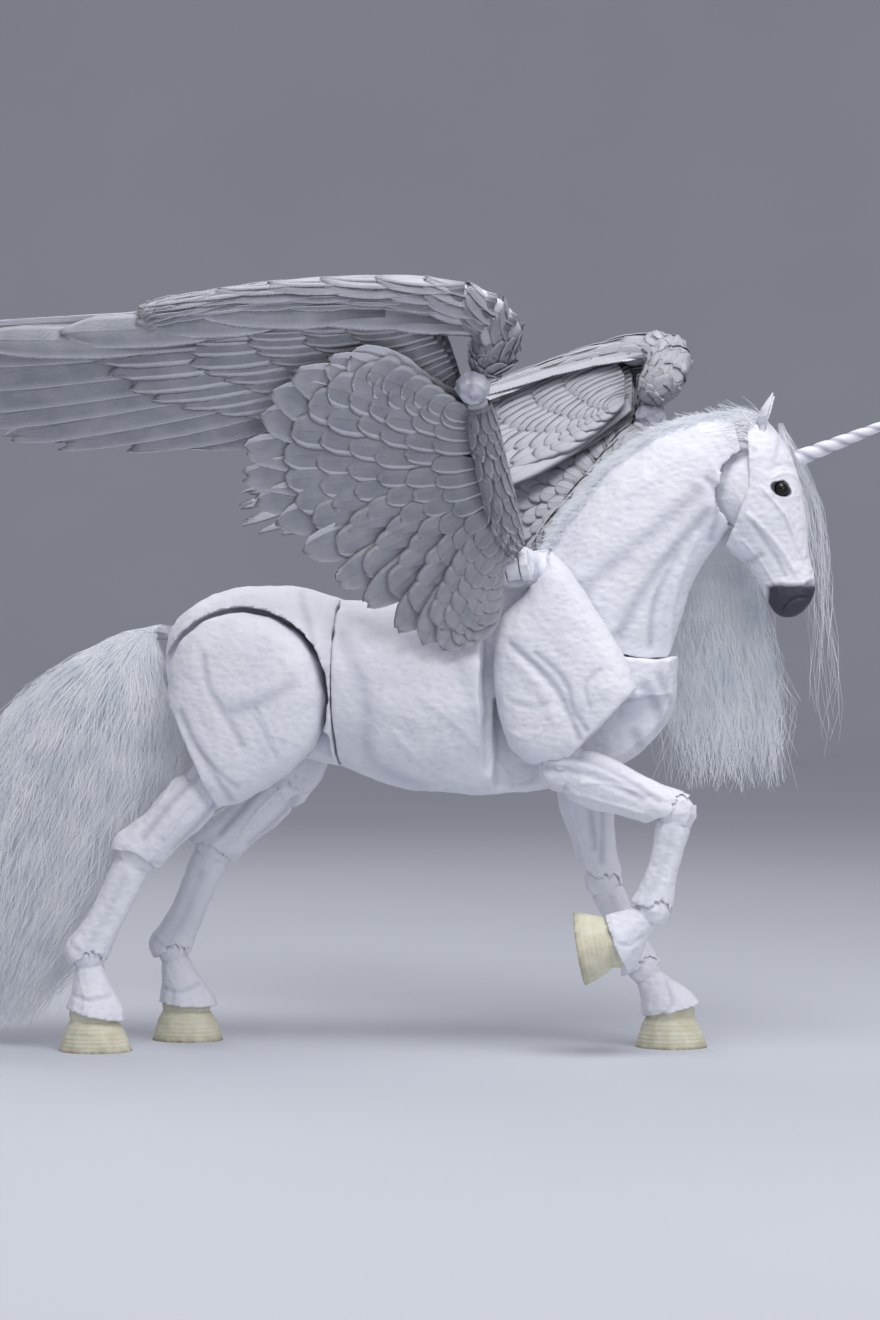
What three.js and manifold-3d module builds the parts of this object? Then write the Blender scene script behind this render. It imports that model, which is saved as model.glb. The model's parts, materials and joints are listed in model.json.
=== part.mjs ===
// A jointed winged-unicorn figurine at one-twelfth scale. A hard-shelled horse stands on three
// hooves with one foreleg raised. Its legs, neck, head, tail and feathered wings turn on barrel
// hinges, pegs and balls, and its mane, forelock and tail are hair.
// Millimetres, +X towards the head, +Y to the animal's left, +Z up, floor under the hooves.
import * as THREE from "three";
import { mergeVertices } from "three/addons/utils/BufferGeometryUtils.js";
import Module from "manifold-3d";

const wasm = await Module();
wasm.setup();

// Clearances between pieces
const GAP = 0.35; // between a barrel or ball and its socket
const PIN_GAP = 0.3; // round a pin in its bore
const SEAM = 0.4; // between two shells that meet face to face
const THROUGH = 40; // a cut that runs right through the widest piece

// Trunk
const WAIST_X = -27.5;
const WAIST_STUD = { radius: 6, length: 8, z: 104 };
const CHEST_HALF_WIDTH = 12.9; // between the two shoulder shells
const KEEL_HALF_WIDTH = 6.6; // between the two elbows
const CROUP_HALF_WIDTH = 9; // between the two haunch shells
const SHOULDER_HOLLOW_X = 13.6;

// Joint centres on the trunk, seen from the side, and the turns they allow about the Y axis
const HIP = { x: -53.4, z: 98.6, hollow: 25.2 };
const SHOULDER = { x: 35.4, z: 112.9 };
const NECK = { x: 59.5, z: 137.8, radius: 28.7, towards: -138, limits: [-7, 9] };
const POLL = { x: 86.8, z: 156.5, radius: 12.3, half: 8.8, towards: -128, limits: [-9, 3], throat: 203 };
const TAIL = { x: -74.6, z: 115.8 };
const WING_ROOT = { x: 22.7, y: 15, z: 134.4 };

// Leg planes, half the track of the hooves
const HIND_TRACK = 15.4;
const FRONT_TRACK = 14.4;

// Bone lengths from joint to joint
const HAUNCH_LENGTH = 25.7;
const GASKIN_LENGTH = 27.6;
const HIND_CANNON_LENGTH = 32.3;
const HIND_PASTERN_LENGTH = 16.6;
const SHOULDER_LENGTH = 33;
const FOREARM_LENGTH = 33.9;
const FRONT_CANNON_LENGTH = 27.4;
const FRONT_PASTERN_LENGTH = 14;
const HOOF_HEIGHT = 10;

// Hinges: barrel radius and half width, the tongue and pin inside it, how far the lower bone leans
// forward of the upper one at its limits, and how wide the upper bone opens behind and before it
const ELBOW = {
  radius: 7.4, half: 6, tongue: 3.6, plate: 1.1, pin: 1.1, limits: [-4, 72], open: [63, 64],
  room: 24,
};
const KNEE = {
  radius: 5.8, half: 5.2, tongue: 2.8, plate: 0.9, pin: 0.8, limits: [-84, 18], open: [54, 54],
};
const STIFLE = {
  radius: 7.6, half: 6, tongue: 3.6, plate: 1.1, pin: 1.1, limits: [-70, -16], open: [65, 65],
};
const HOCK = {
  radius: 6.4, half: 5.3, tongue: 3, plate: 0.9, pin: 0.85, limits: [8, 40], open: [60, 58],
};
const FRONT_FETLOCK = {
  radius: 5, half: 4.8, tongue: 2.6, plate: 0.85, pin: 0.75, limits: [-40, 14], open: [56, 56],
};
const HIND_FETLOCK = {
  radius: 5, half: 4.8, tongue: 2.6, plate: 0.85, pin: 0.75, limits: [18, 46], open: [56, 56],
};
const CORONET = { radius: 7.2, half: 6.6, limits: [-34, -3], open: [77, 77] };
const LEG_PEG = { radius: 3, inner: 4, outer: 20 };

// Rest pose: how far each bone leans forward of straight down, in degrees
const RIGHT_HIND = { haunch: -21.3, gaskin: -46, pastern: 5.4 };
const LEFT_HIND = { haunch: 16.9, gaskin: -48.9, pastern: 14 };
const LEFT_FRONT = { shoulder: 5, forearm: 10.5, pastern: 31 };
const RIGHT_FRONT = [0, 68.5, -13, -49.5, -80.5];
const HAUNCH_DRAWN_AT = -21.3; // the lean that the haunch outline is drawn in
const SHOULDER_LEANS = [-8, 6];

// Wings
const ARM_LENGTH = 58;
const KNUCKLE = {
  radius: 4.2, half: 4.4, tongue: 1.8, pin: 1.2, reach: 6.6, stem: 1.6, top: 12, room: 7.2,
};
const WING_PEG = { radius: 2.6, disc: 5.6, discThick: 1.8, depth: 9 };
const WRIST = { radius: 4.8, stem: 1.5, clear: 10 };
const FLIGHT_FEATHER = { thick: 1.1, roll: 7 };
const COVERT_FEATHER = { thick: 2.8, roll: 0 };
const OUTER_WING_LENGTH = 166; // from the wrist to the tip of the longest feather
const OUTER_WING_BACK = 5.8; // how far the outer wing passes behind the arm
const RIGHT_WING = { swivel: -8.8, spread: 36, roll: 0, fold: 9 };
const LEFT_WING = { swivel: 37.5, spread: 14, roll: 52, fold: -30 };

// Horn, eyes and ears
const HORN = {
  length: 46, radius: 2.3, tip: 0.4, turns: 3, groove: 0.4, peg: 1.2, lean: 69, x: 99.3, z: 164.6,
};
const EYE = { radius: 2.2, x: 95.2, y: 6.6, z: 156 };
const EAR = { x: 90, y: 4.3, z: 173.8, peg: 0.9 };

const rad = THREE.MathUtils.degToRad;
const deg = THREE.MathUtils.radToDeg;
const lerp = THREE.MathUtils.lerp;
const V = (x, y, z) => new THREE.Vector3(x, y, z);
const paint = (color, roughness) =>
  new THREE.MeshStandardMaterial({ color, roughness, metalness: 0 });

const hide = paint(0xdfe1ea, 0.75);
const hoofHorn = paint(0xd3cba4, 0.65);
const hornWhite = paint(0xe6e4ee, 0.5);
const hair = paint(0xe4e8ee, 0.9);
const eyeBlack = paint(0x14100e, 0.1);
const pegGrey = paint(0xc8c9cf, 0.5);

// Solids

function solidOf(geometry) {
  const bare = geometry.index ? geometry.toNonIndexed() : geometry;
  const points = new THREE.BufferGeometry();
  points.setAttribute("position", bare.getAttribute("position"));
  const merged = mergeVertices(points, 1e-4);
  const vertProperties = merged.attributes.position.array;
  const triVerts = new Uint32Array(merged.index.array);
  const solid = new wasm.Manifold(new wasm.Mesh({ numProp: 3, vertProperties, triVerts }));
  if (solid.volume() > 0) return solid;
  for (let i = 0; i < triVerts.length; i += 3) {
    [triVerts[i + 1], triVerts[i + 2]] = [triVerts[i + 2], triVerts[i + 1]];
  }
  return new wasm.Manifold(new wasm.Mesh({ numProp: 3, vertProperties, triVerts }));
}

// The mesh of a solid drawn for the right side, mirrored where the piece is a left one.
function meshOf(name, solid, material, side = -1) {
  const { vertProperties, triVerts } = solid.getMesh();
  const index = Array.from(triVerts);
  if (side > 0) index.reverse();
  const geometry = new THREE.BufferGeometry();
  geometry.setAttribute("position", new THREE.BufferAttribute(vertProperties.slice(), 3));
  geometry.setIndex(index);
  geometry.scale(1, -side, 1);
  const mesh = new THREE.Mesh(geometry.toNonIndexed(), material);
  mesh.geometry.computeVertexNormals();
  mesh.name = name;
  return mesh;
}

// One closed skin through rings of points, each in the same order, with a fan over either end.
function skin(rings) {
  const count = rings[0].length;
  const positions = rings.flat().flatMap((p) => [p.x, p.y, p.z]);
  const index = [];
  for (let r = 0; r + 1 < rings.length; r++) {
    for (let i = 0; i < count; i++) {
      const j = (i + 1) % count;
      const [a, b] = [r * count + i, r * count + j];
      index.push(a, b, b + count, a, b + count, a + count);
    }
  }
  for (const r of [0, rings.length - 1]) {
    const centre = rings[r].reduce((sum, p) => sum.add(p), V(0, 0, 0)).divideScalar(count);
    const hub = positions.length / 3;
    positions.push(centre.x, centre.y, centre.z);
    for (let i = 0; i < count; i++) {
      const [a, b] = [r * count + i, r * count + ((i + 1) % count)];
      index.push(...(r === 0 ? [hub, b, a] : [hub, a, b]));
    }
  }
  const geometry = new THREE.BufferGeometry();
  geometry.setAttribute("position", new THREE.Float32BufferAttribute(positions, 3));
  geometry.setIndex(index);
  return solidOf(geometry);
}

// A ring of points round an oval, given by its centre and two half axes.
function oval(centre, first, second, sides) {
  return Array.from({ length: sides }, (_, i) => {
    const turn = (2 * Math.PI * (i + 0.5)) / sides;
    const point = centre.clone().addScaledVector(first, Math.cos(turn));
    return point.addScaledVector(second, Math.sin(turn));
  });
}

// Level sections [z, back, front, half width].
const limb = (sections, sides = 10) =>
  skin(
    sections.map(([z, back, front, half]) =>
      oval(V((front + back) / 2, 0, z), V((front - back) / 2, 0, 0), V(0, half, 0), sides),
    ),
  );

// Upright sections [x, top, bottom, half width] along the trunk.
const trunk = (sections, sides = 16) =>
  skin(
    sections.map(([x, top, bottom, half]) =>
      oval(V(x, 0, (top + bottom) / 2), V(0, half, 0), V(0, 0, (top - bottom) / 2), sides),
    ),
  );

// A hanging lock through level sections [z, back, front, inner side, outer side].
const lock = (sections, sides = 12) =>
  skin(
    sections.map(([z, back, front, inner, outer]) => {
      const centre = V((back + front) / 2, (inner + outer) / 2, z);
      return oval(centre, V((front - back) / 2, 0, 0), V(0, (outer - inner) / 2, 0), sides);
    }),
  );

// A bent tube through stations [x, z, half depth, half width], its sections square to its path.
function bentTube(stations, sides = 12) {
  const centres = stations.map(([x, z]) => V(x, 0, z));
  return skin(
    stations.map(([, , depth, width], k) => {
      const before = centres[Math.max(0, k - 1)];
      const after = centres[Math.min(stations.length - 1, k + 1)];
      const out = V(0, 1, 0).cross(after.clone().sub(before)).normalize();
      return oval(centres[k], out.multiplyScalar(depth), V(0, width, 0), sides);
    }),
  );
}

// A cushioned shell: a side-view outline drawn in about a centre at each depth [y, scale].
function cushion(outline, [cx, cz], layers) {
  return skin(
    layers.map(([y, scale]) =>
      outline.map(([x, z]) => V(lerp(cx, x, scale), y, lerp(cz, z, scale))),
    ),
  );
}

function ball(radius, half, [x, y, z] = [0, 0, 0], around = radius > 7 ? 12 : 10) {
  const sphere = new THREE.SphereGeometry(1, around, around > 12 ? around / 2 : 4);
  return solidOf(sphere.scale(radius, half, radius).translate(x, y, z));
}

// A rod along X, Y or Z from one end to the other.
function rod(axis, radius, from, to, at = [0, 0, 0], sides = radius < 1.7 ? 6 : 8) {
  const cylinder = new THREE.CylinderGeometry(radius, radius, to - from, sides);
  if (axis === "x") cylinder.rotateZ(Math.PI / 2).translate((from + to) / 2, 0, 0);
  if (axis === "y") cylinder.translate(0, (from + to) / 2, 0);
  if (axis === "z") cylinder.rotateX(Math.PI / 2).translate(0, 0, (from + to) / 2);
  return solidOf(cylinder.translate(...at));
}

// A rod in the XZ plane, leaning from straight up towards the front, from a point outwards.
function leaningRod({ x, z }, lean, radius, from, to) {
  const cylinder = new THREE.CylinderGeometry(radius, radius, to - from, 12);
  cylinder.translate(0, (from + to) / 2, 0).rotateX(Math.PI / 2).rotateY(rad(lean));
  return solidOf(cylinder.translate(x, 0, z));
}

function block([x0, y0, z0], [x1, y1, z1]) {
  const box = new THREE.BoxGeometry(x1 - x0, y1 - y0, z1 - z0);
  return solidOf(box.translate((x0 + x1) / 2, (y0 + y1) / 2, (z0 + z1) / 2));
}

// A plate in the XZ plane through corners [x, z], from one depth to another.
function plate(corners, y0, y1) {
  const shape = new THREE.Shape(corners.map(([x, z]) => new THREE.Vector2(x, z)));
  const slab = new THREE.ExtrudeGeometry(shape, { depth: y1 - y0, bevelEnabled: false });
  return solidOf(slab.rotateX(Math.PI / 2).translate(0, y1, 0));
}

// A fan in the XZ plane between two bearings, turned from straight up towards the front.
function fan(radius, from, to, half, { x, z } = { x: 0, z: 0 }) {
  const steps = Math.max(2, Math.ceil((to - from) / 30));
  const corners = [[x, z]];
  for (let i = 0; i <= steps; i++) {
    const bearing = rad(lerp(from, to, i / steps));
    corners.push([x + radius * Math.sin(bearing), z + radius * Math.cos(bearing)]);
  }
  return plate(corners, -half, half);
}

const turnedOutline = (outline, degrees) =>
  outline.map(([x, z]) => {
    const [c, s] = [Math.cos(rad(degrees)), Math.sin(rad(degrees))];
    return [x * c + z * s, z * c - x * s];
  });

// Hinges. The lower bone's barrel turns in the upper bone's socket, round a hidden tongue and pin.

const BRIDGE = 0.5; // the tongue's neck, as a share of its round end
const PIN_REACH = 0.8; // the pin's bore, as a share of the barrel's half width
const DOWN = 180; // the fan angle that points down the bone

// The room that the lower bone sweeps below the end of the upper one.
const sweptRoom = ({ radius, limits, open, room = 18 }, length) =>
  fan(radius + room, DOWN - limits[1] - open[1], DOWN - limits[0] + open[0], THROUGH, { x: 0, z: -length });

// The one body that is left when a cut trims slivers off it.
const largestPart = (solid) => solid.decompose().sort((a, b) => b.volume() - a.volume())[0];

function withSocket(upper, joint, length) {
  const { radius, half, tongue, plate: thick, pin } = joint;
  const bridge = tongue * BRIDGE;
  const centre = [0, 0, -length];
  const cut = upper
    .subtract(ball(radius + GAP, half + GAP, centre))
    .subtract(sweptRoom(joint, length));
  const whole = cut
    .add(rod("y", tongue, -thick, thick, centre))
    .add(block([-bridge, -thick, -length], [bridge, thick, radius + 2.4 - length]))
    .subtract(rod("y", pin + PIN_GAP, -half, half, centre));
  return largestPart(whole);
}

function withBarrel(lower, joint) {
  const { radius, half, tongue, plate: thick, pin, limits } = joint;
  const bridge = tongue * BRIDGE + GAP;
  const spread = deg(Math.asin(bridge / (tongue + GAP))) + 5;
  const slot = thick + GAP;
  const reach = half * PIN_REACH;
  return lower
    .add(ball(radius, half))
    .subtract(rod("y", tongue + GAP, -slot, slot))
    .subtract(fan(radius + 5, limits[0] - spread, limits[1] + spread, slot))
    .subtract(rod("y", pin + PIN_GAP, -reach, reach, [0, 0, 0]));
}

function hingePin({ pin, half }) {
  const reach = half * PIN_REACH - PIN_GAP;
  return rod("y", pin, -reach, reach);
}

// Legs. Each bone hangs from its upper joint, down -Z, with +X to the front.

const haunchOutline = [
  [0, 24], [9.2, 22.2], [17, 17], [22.2, 9.2], [24, 0], [22.6, -8.2], [19.6, -14.4],
  [13.6, -20.4], [6, -25.6], [-2, -30], [-8, -30.6], [-13.5, -26.6], [-17, -20.4],
  [-19.6, -12], [-20.8, -2], [-20.4, 8], [-17.2, 16], [-9.8, 21.9],
];
const shoulderOutline = [
  [-2.6, 25.8], [2.2, 21.4], [7.4, 13.4], [13.2, 4.2], [18.8, -5.2], [21.4, -13.4],
  [19.4, -21], [14.2, -27.4], [7, -31], [-1.6, -33], [-9, -32.6], [-14.4, -28.2],
  [-17.2, -20], [-18.6, -10], [-19, 2], [-16.4, 8.4], [-9.4, 14.6], [-5.6, 23],
];
const elbowOutline = [
  [10, -19], [12.8, -25], [9, -30.4], [-1, -33], [-9, -32.4], [-13.4, -27], [-13, -19],
  [-2, -17.6],
];

function haunchSolid() {
  const outline = turnedOutline(haunchOutline, HAUNCH_DRAWN_AT);
  const inner = HIND_TRACK - CROUP_HALF_WIDTH - SEAM;
  const shell = cushion(outline, [-1, -2], [
    [inner, 0.98], [inner - 2, 1], [-4.4, 0.99], [-7.4, 0.92], [-9.4, 0.78], [-10.8, 0.55],
    [-11.2, 0.25],
  ]);
  const boreEnd = HIND_TRACK - LEG_PEG.outer - PIN_GAP;
  const bore = rod("y", LEG_PEG.radius + PIN_GAP, boreEnd, inner + 1);
  return withSocket(shell.subtract(bore), STIFLE, HAUNCH_LENGTH);
}

function shoulderSolid() {
  const inner = FRONT_TRACK - CHEST_HALF_WIDTH - SEAM;
  const shell = cushion(shoulderOutline, [1, -6], [
    [inner, 0.98], [inner - 2.4, 1], [-4.6, 0.98], [-7.2, 0.9], [-8.8, 0.72], [-9.6, 0.42],
    [-9.8, 0.2],
  ]);
  const lug = cushion(elbowOutline, [0, -26], [[6.4, 0.9], [5, 1], [-2, 1]]);
  const boreEnd = FRONT_TRACK - LEG_PEG.outer - PIN_GAP;
  const bore = rod("y", LEG_PEG.radius + PIN_GAP, boreEnd, inner + 1);
  const whole = shell.add(lug).subtract(bore).subtract(wingNotch());
  return withSocket(whole, ELBOW, SHOULDER_LENGTH);
}

// The shell's top is notched to pass the root of the wing as the shoulder swings.
function wingNotch() {
  const [dx, dz] = [WING_ROOT.x - SHOULDER.x, WING_ROOT.z - SHOULDER.z];
  return [0, 0.5, 1]
    .map((t) => {
      const lean = lerp(...SHOULDER_LEANS, t);
      const [[x, z]] = turnedOutline([[dx, dz]], lean);
      return rod("y", WING_PEG.disc + 1.2, -THROUGH, THROUGH, [x, 0, z], 12);
    })
    .reduce((all, one) => all.add(one));
}

const gaskinSections = [
  [-1, -5.4, 4.4, 4.4], [-5, -8, 7.4, 6.4], [-11, -7.8, 7.8, 6.9], [-18, -6.8, 7, 6.5],
  [-24, -7.6, 7.4, 6.4], [-28.4, -8.4, 7.8, 6.3], [-31.4, -7.6, 6.4, 5.8], [-33, -5, 4, 4.4],
];
const hindCannonSections = [
  [-1, -4, 3.6, 3.6], [-5, -5.7, 5.3, 4.6], [-12, -5.4, 5.1, 4.4], [-20, -5.2, 5, 4.2],
  [-27, -6.4, 5.2, 4.7], [-31.5, -7.8, 5.4, 5.4], [-34.4, -7, 5.2, 5.2],
  [-36.6, -4.6, 3.2, 3.4],
];
const hindPasternSections = [
  [-1, -3.4, 3, 3.2], [-4.4, -4.6, 4.4, 4.4], [-8.6, -5.6, 5.6, 5.2], [-12.6, -7.2, 7.4, 6.6],
  [-16, -8.6, 8.8, 7.8], [-20, -8.7, 9, 7.9],
];
const forearmSections = [
  [-1, -5.2, 4.6, 4.4], [-6, -8.4, 7.4, 6.3], [-12, -8.6, 7.6, 6.7], [-20, -7, 6.4, 6],
  [-27, -6.2, 5.8, 5.5], [-32.4, -6.4, 6.2, 5.6], [-36.4, -5.6, 5.8, 5.3],
];
const frontCannonSections = [
  [-1, -3.6, 3.4, 3.6], [-4.6, -5, 5, 4.7], [-9.6, -4.6, 4.7, 4.1], [-16, -4.5, 4.3, 3.8],
  [-22, -5.6, 4.8, 4.3], [-26.6, -7, 5.2, 5.1], [-29.6, -6.2, 4.8, 4.9], [-31.6, -4, 3, 3.3],
];
const frontPasternSections = [
  [-1, -3.2, 3, 3], [-4, -4.6, 4.4, 4.3], [-7.4, -5.8, 5.8, 5.2], [-10.6, -7.4, 7.6, 6.6],
  [-13.4, -8.4, 8.6, 7.6], [-17.4, -8.6, 8.9, 7.8],
];

// The pastern ends in a cup that sits on the hoof's domed top.
const pasternSolid = (sections, hinge, length) =>
  withBarrel(
    limb(sections)
      .subtract(ball(CORONET.radius + GAP, CORONET.half + GAP, [0, 0, -length]))
      .subtract(sweptRoom(CORONET, length)),
    hinge,
  );

// The hoof leans back on its toe, with ridged rings down its wall.
function hoofSolid() {
  const wall = [
    [-1.6, -6.8, 6.6, 6.2], [-3, -7.9, 7.9, 7.2], [-4.2, -8.4, 8.6, 7.6], [-4.8, -8.4, 8.8, 7.6],
    [-7.4, -9.4, 10, 8.3], [-7.9, -9.3, 9.9, 8.2], [-HOOF_HEIGHT, -10, 10.9, 8.8],
  ];
  return limb(wall, 14).add(ball(CORONET.radius, CORONET.half));
}

const legPeg = rod("y", LEG_PEG.radius, PIN_GAP - LEG_PEG.outer, -LEG_PEG.inner - PIN_GAP);

// One leg as nested groups, each leaning by its own angle in the world.
function leg(prefix, side, { joint, track, bones }, leans) {
  const top = new THREE.Group();
  top.position.set(joint.x, side * track, joint.z);
  let [group, leanAbove] = [top, 0];
  bones.forEach(({ name, solid, hinge, pinName, material }, i) => {
    const bone = new THREE.Group();
    if (i > 0) bone.position.z = -bones[i - 1].length;
    bone.rotation.y = -rad(leans[i] - leanAbove);
    bone.add(meshOf(`${prefix}_${name}`, solid, material, side));
    if (hinge) bone.add(meshOf(`${prefix}_${pinName}`, hingePin(hinge), pegGrey, side));
    group.add(bone);
    [group, leanAbove] = [bone, leans[i]];
  });
  return top;
}

const hindLeg = {
  joint: HIP,
  track: HIND_TRACK,
  bones: [
    { name: "haunch", solid: haunchSolid(), length: HAUNCH_LENGTH, material: hide },
    {
      name: "gaskin",
      solid: withBarrel(withSocket(limb(gaskinSections), HOCK, GASKIN_LENGTH), STIFLE),
      length: GASKIN_LENGTH,
      hinge: STIFLE,
      pinName: "stifle_pin",
      material: hide,
    },
    {
      name: "cannon",
      solid: withBarrel(withSocket(limb(hindCannonSections), HIND_FETLOCK, HIND_CANNON_LENGTH), HOCK),
      length: HIND_CANNON_LENGTH,
      hinge: HOCK,
      pinName: "hock_pin",
      material: hide,
    },
    {
      name: "pastern",
      solid: pasternSolid(hindPasternSections, HIND_FETLOCK, HIND_PASTERN_LENGTH),
      length: HIND_PASTERN_LENGTH,
      hinge: HIND_FETLOCK,
      pinName: "fetlock_pin",
      material: hide,
    },
    { name: "hoof", solid: hoofSolid(), material: hoofHorn },
  ],
};
const frontLeg = {
  joint: SHOULDER,
  track: FRONT_TRACK,
  bones: [
    { name: "shoulder", solid: shoulderSolid(), length: SHOULDER_LENGTH, material: hide },
    {
      name: "forearm",
      solid: withBarrel(withSocket(limb(forearmSections), KNEE, FOREARM_LENGTH), ELBOW),
      length: FOREARM_LENGTH,
      hinge: ELBOW,
      pinName: "elbow_pin",
      material: hide,
    },
    {
      name: "cannon",
      solid: withBarrel(withSocket(limb(frontCannonSections), FRONT_FETLOCK, FRONT_CANNON_LENGTH), KNEE),
      length: FRONT_CANNON_LENGTH,
      hinge: KNEE,
      pinName: "knee_pin",
      material: hide,
    },
    {
      name: "pastern",
      solid: pasternSolid(frontPasternSections, FRONT_FETLOCK, FRONT_PASTERN_LENGTH),
      length: FRONT_PASTERN_LENGTH,
      hinge: FRONT_FETLOCK,
      pinName: "fetlock_pin",
      material: hide,
    },
    { name: "hoof", solid: hoofSolid(), material: hoofHorn },
  ],
};

// The cannon leans just as far as brings the sole down to the floor.
function standingLean({ joint, bones }, leans) {
  const used = leans.reduce(
    (sum, lean, i) => (lean === null ? sum : sum + bones[i].length * Math.cos(rad(lean))),
    HOOF_HEIGHT,
  );
  const share = THREE.MathUtils.clamp((joint.z - used) / bones[2].length, -1, 1);
  return deg(Math.acos(share));
}

function standingPose(shape, direction, { haunch, shoulder, gaskin, forearm, pastern }) {
  const [first, second] = [haunch ?? shoulder, gaskin ?? forearm];
  const cannon = direction * standingLean(shape, [first, second, null, pastern]);
  return [first, second, cannon, pastern, 0];
}

// Trunk: the ribcage shell and, behind the waist seam, the rump that turns on a stud.

const onBothSides = (solid, change) => [-1, 1].reduce((made, side) => change(made, side), solid);

const sideBlock = (side, [x0, x1], inner, [z0, z1]) =>
  side < 0 ? block([x0, -THROUGH, z0], [x1, -inner, z1]) : block([x0, inner, z0], [x1, THROUGH, z1]);

const sideRod = (side, radius, inner, outer, { x, z }, sides = 8) =>
  rod("y", radius, side < 0 ? -outer : inner, side < 0 ? -inner : outer, [x, 0, z], sides);

const neckBarrel = (radius) => rod("y", radius, -THROUGH, THROUGH, [NECK.x, 0, NECK.z], 36);
const NECK_STRAP = { half: 4, thick: 1.6, hub: 7, axle: 2, axleHalf: 6.5 };

function ribcageSolid() {
  const { half, thick, hub, axle, axleHalf } = NECK_STRAP;
  const pegBore = LEG_PEG.radius + PIN_GAP;
  const wingBore = WING_PEG.radius + PIN_GAP;
  const shell = trunk([
    [WAIST_X + SEAM / 2, 126.4, 78.6, 24], [WAIST_X + 5, 126.2, 76, 24.6], [-12, 126.4, 72.6, 25.4],
    [0, 128, 71.2, 25.6], [10, 132.6, 70.6, 25], [18, 137.2, 70.6, 23.4], [26, 140, 71.6, 21],
    [36, 142, 73.2, 17.4], [46, 142, 75.6, 14.6], [56, 138, 81.4, 13], [62, 128, 87.6, 11.4],
    [65.5, 118, 94, 8.4], [66.4, 112, 98, 5],
  ]);
  const waisted = onBothSides(shell, (solid, side) =>
    solid
      .subtract(sideBlock(side, [SHOULDER_HOLLOW_X, 90], CHEST_HALF_WIDTH, [60, 150]))
      .subtract(sideBlock(side, [16.2, 90], KEEL_HALF_WIDTH, [60, 99]))
      .add(sideRod(side, WING_PEG.disc + 0.6, 6, WING_ROOT.y, WING_ROOT, 18)),
  );
  const bored = onBothSides(waisted.subtract(neckBarrel(NECK.radius)), (solid, side) =>
    solid
      .subtract(sideRod(side, wingBore, WING_ROOT.y - WING_PEG.depth, 17, WING_ROOT))
      .subtract(sideRod(side, pegBore, LEG_PEG.inner, 16, SHOULDER)),
  );
  const { radius, length, z } = WAIST_STUD;
  const studBore = rod("x", radius + PIN_GAP, WAIST_X - 5, WAIST_X + length + 0.5, [0, 0, z], 12);
  const strap = leaningBlock(NECK, NECK.towards, half, thick, NECK.radius + 4);
  return bored
    .subtract(studBore)
    .add(strap)
    .add(rod("y", hub, -thick, thick, [NECK.x, 0, NECK.z], 16))
    .add(rod("y", axle, -axleHalf, axleHalf, [NECK.x, 0, NECK.z]));
}

// A flat strap from a point, leaning from straight up towards the front.
function leaningBlock({ x, z }, lean, half, thick, length) {
  const strap = new THREE.BoxGeometry(2 * half, 2 * thick, length);
  strap.translate(0, 0, length / 2).rotateY(rad(lean));
  return solidOf(strap.translate(x, 0, z));
}

function rumpSolid() {
  const shell = trunk([
    [-77.6, 112, 104, 4.6], [-76.4, 118.4, 99.4, 9.6], [-73, 122.8, 94.8, 15], [-67, 126.8, 91, 20],
    [-60, 129.2, 87.6, 23.6], [-50, 130.8, 84.6, 25.2], [-42, 130.4, 82, 25.2],
    [-34, 128.4, 80, 24.6], [WAIST_X - SEAM / 2, 126.4, 78.6, 24],
  ]);
  const { radius, length, z } = WAIST_STUD;
  return onBothSides(shell, (solid, side) =>
    solid
      .subtract(sideRod(side, HIP.hollow, CROUP_HALF_WIDTH, THROUGH, HIP, 24))
      .subtract(sideBlock(side, [-90, WAIST_X - 1.4], CROUP_HALF_WIDTH, [60, 89]))
      .subtract(sideBlock(side, [-90, -36], 7.6, [60, 91]))
      .subtract(sideRod(side, LEG_PEG.radius + PIN_GAP, LEG_PEG.inner, 12, HIP)),
  )
    .add(rod("x", radius, WAIST_X - 4, WAIST_X + length, [0, 0, z], 12))
    .subtract(rod("z", 2 + PIN_GAP, TAIL.z - 8.4, TAIL.z, [TAIL.x, 0, 0]))
    .subtract(ball(5.6, 5.6, [TAIL.x - 2.4, 0, TAIL.z + 1]));
}

// Tail: a bent dock that swings on an upright pin, with the hair rooted on it.

const dockStub = (radius) =>
  bentTube([[-73, 116, radius, radius], [-80, 117, radius, radius], [-86, 115.4, radius, radius],
    [-94, 108, radius * 0.8, radius * 0.8]], 10);

const tailDockSolid = () => rod("z", 2, TAIL.z - 8, TAIL.z + 1, [TAIL.x, 0, 0]).add(dockStub(2.3));

const tailHairSolid = () =>
  bentTube(
    [
      [-82.4, 116.4, 5.4, 6], [-88.6, 112.6, 10.4, 9.6], [-95, 104, 18.4, 12],
      [-101.4, 90, 24, 11.4], [-109, 68, 25.6, 9.4], [-118, 45, 24.6, 8], [-127.6, 22, 18.4, 6.4],
      [-134, 6.5, 8, 5],
    ],
    12,
  ).subtract(dockStub(2.3 + PIN_GAP));

// Neck, head and what is on them.

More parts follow.
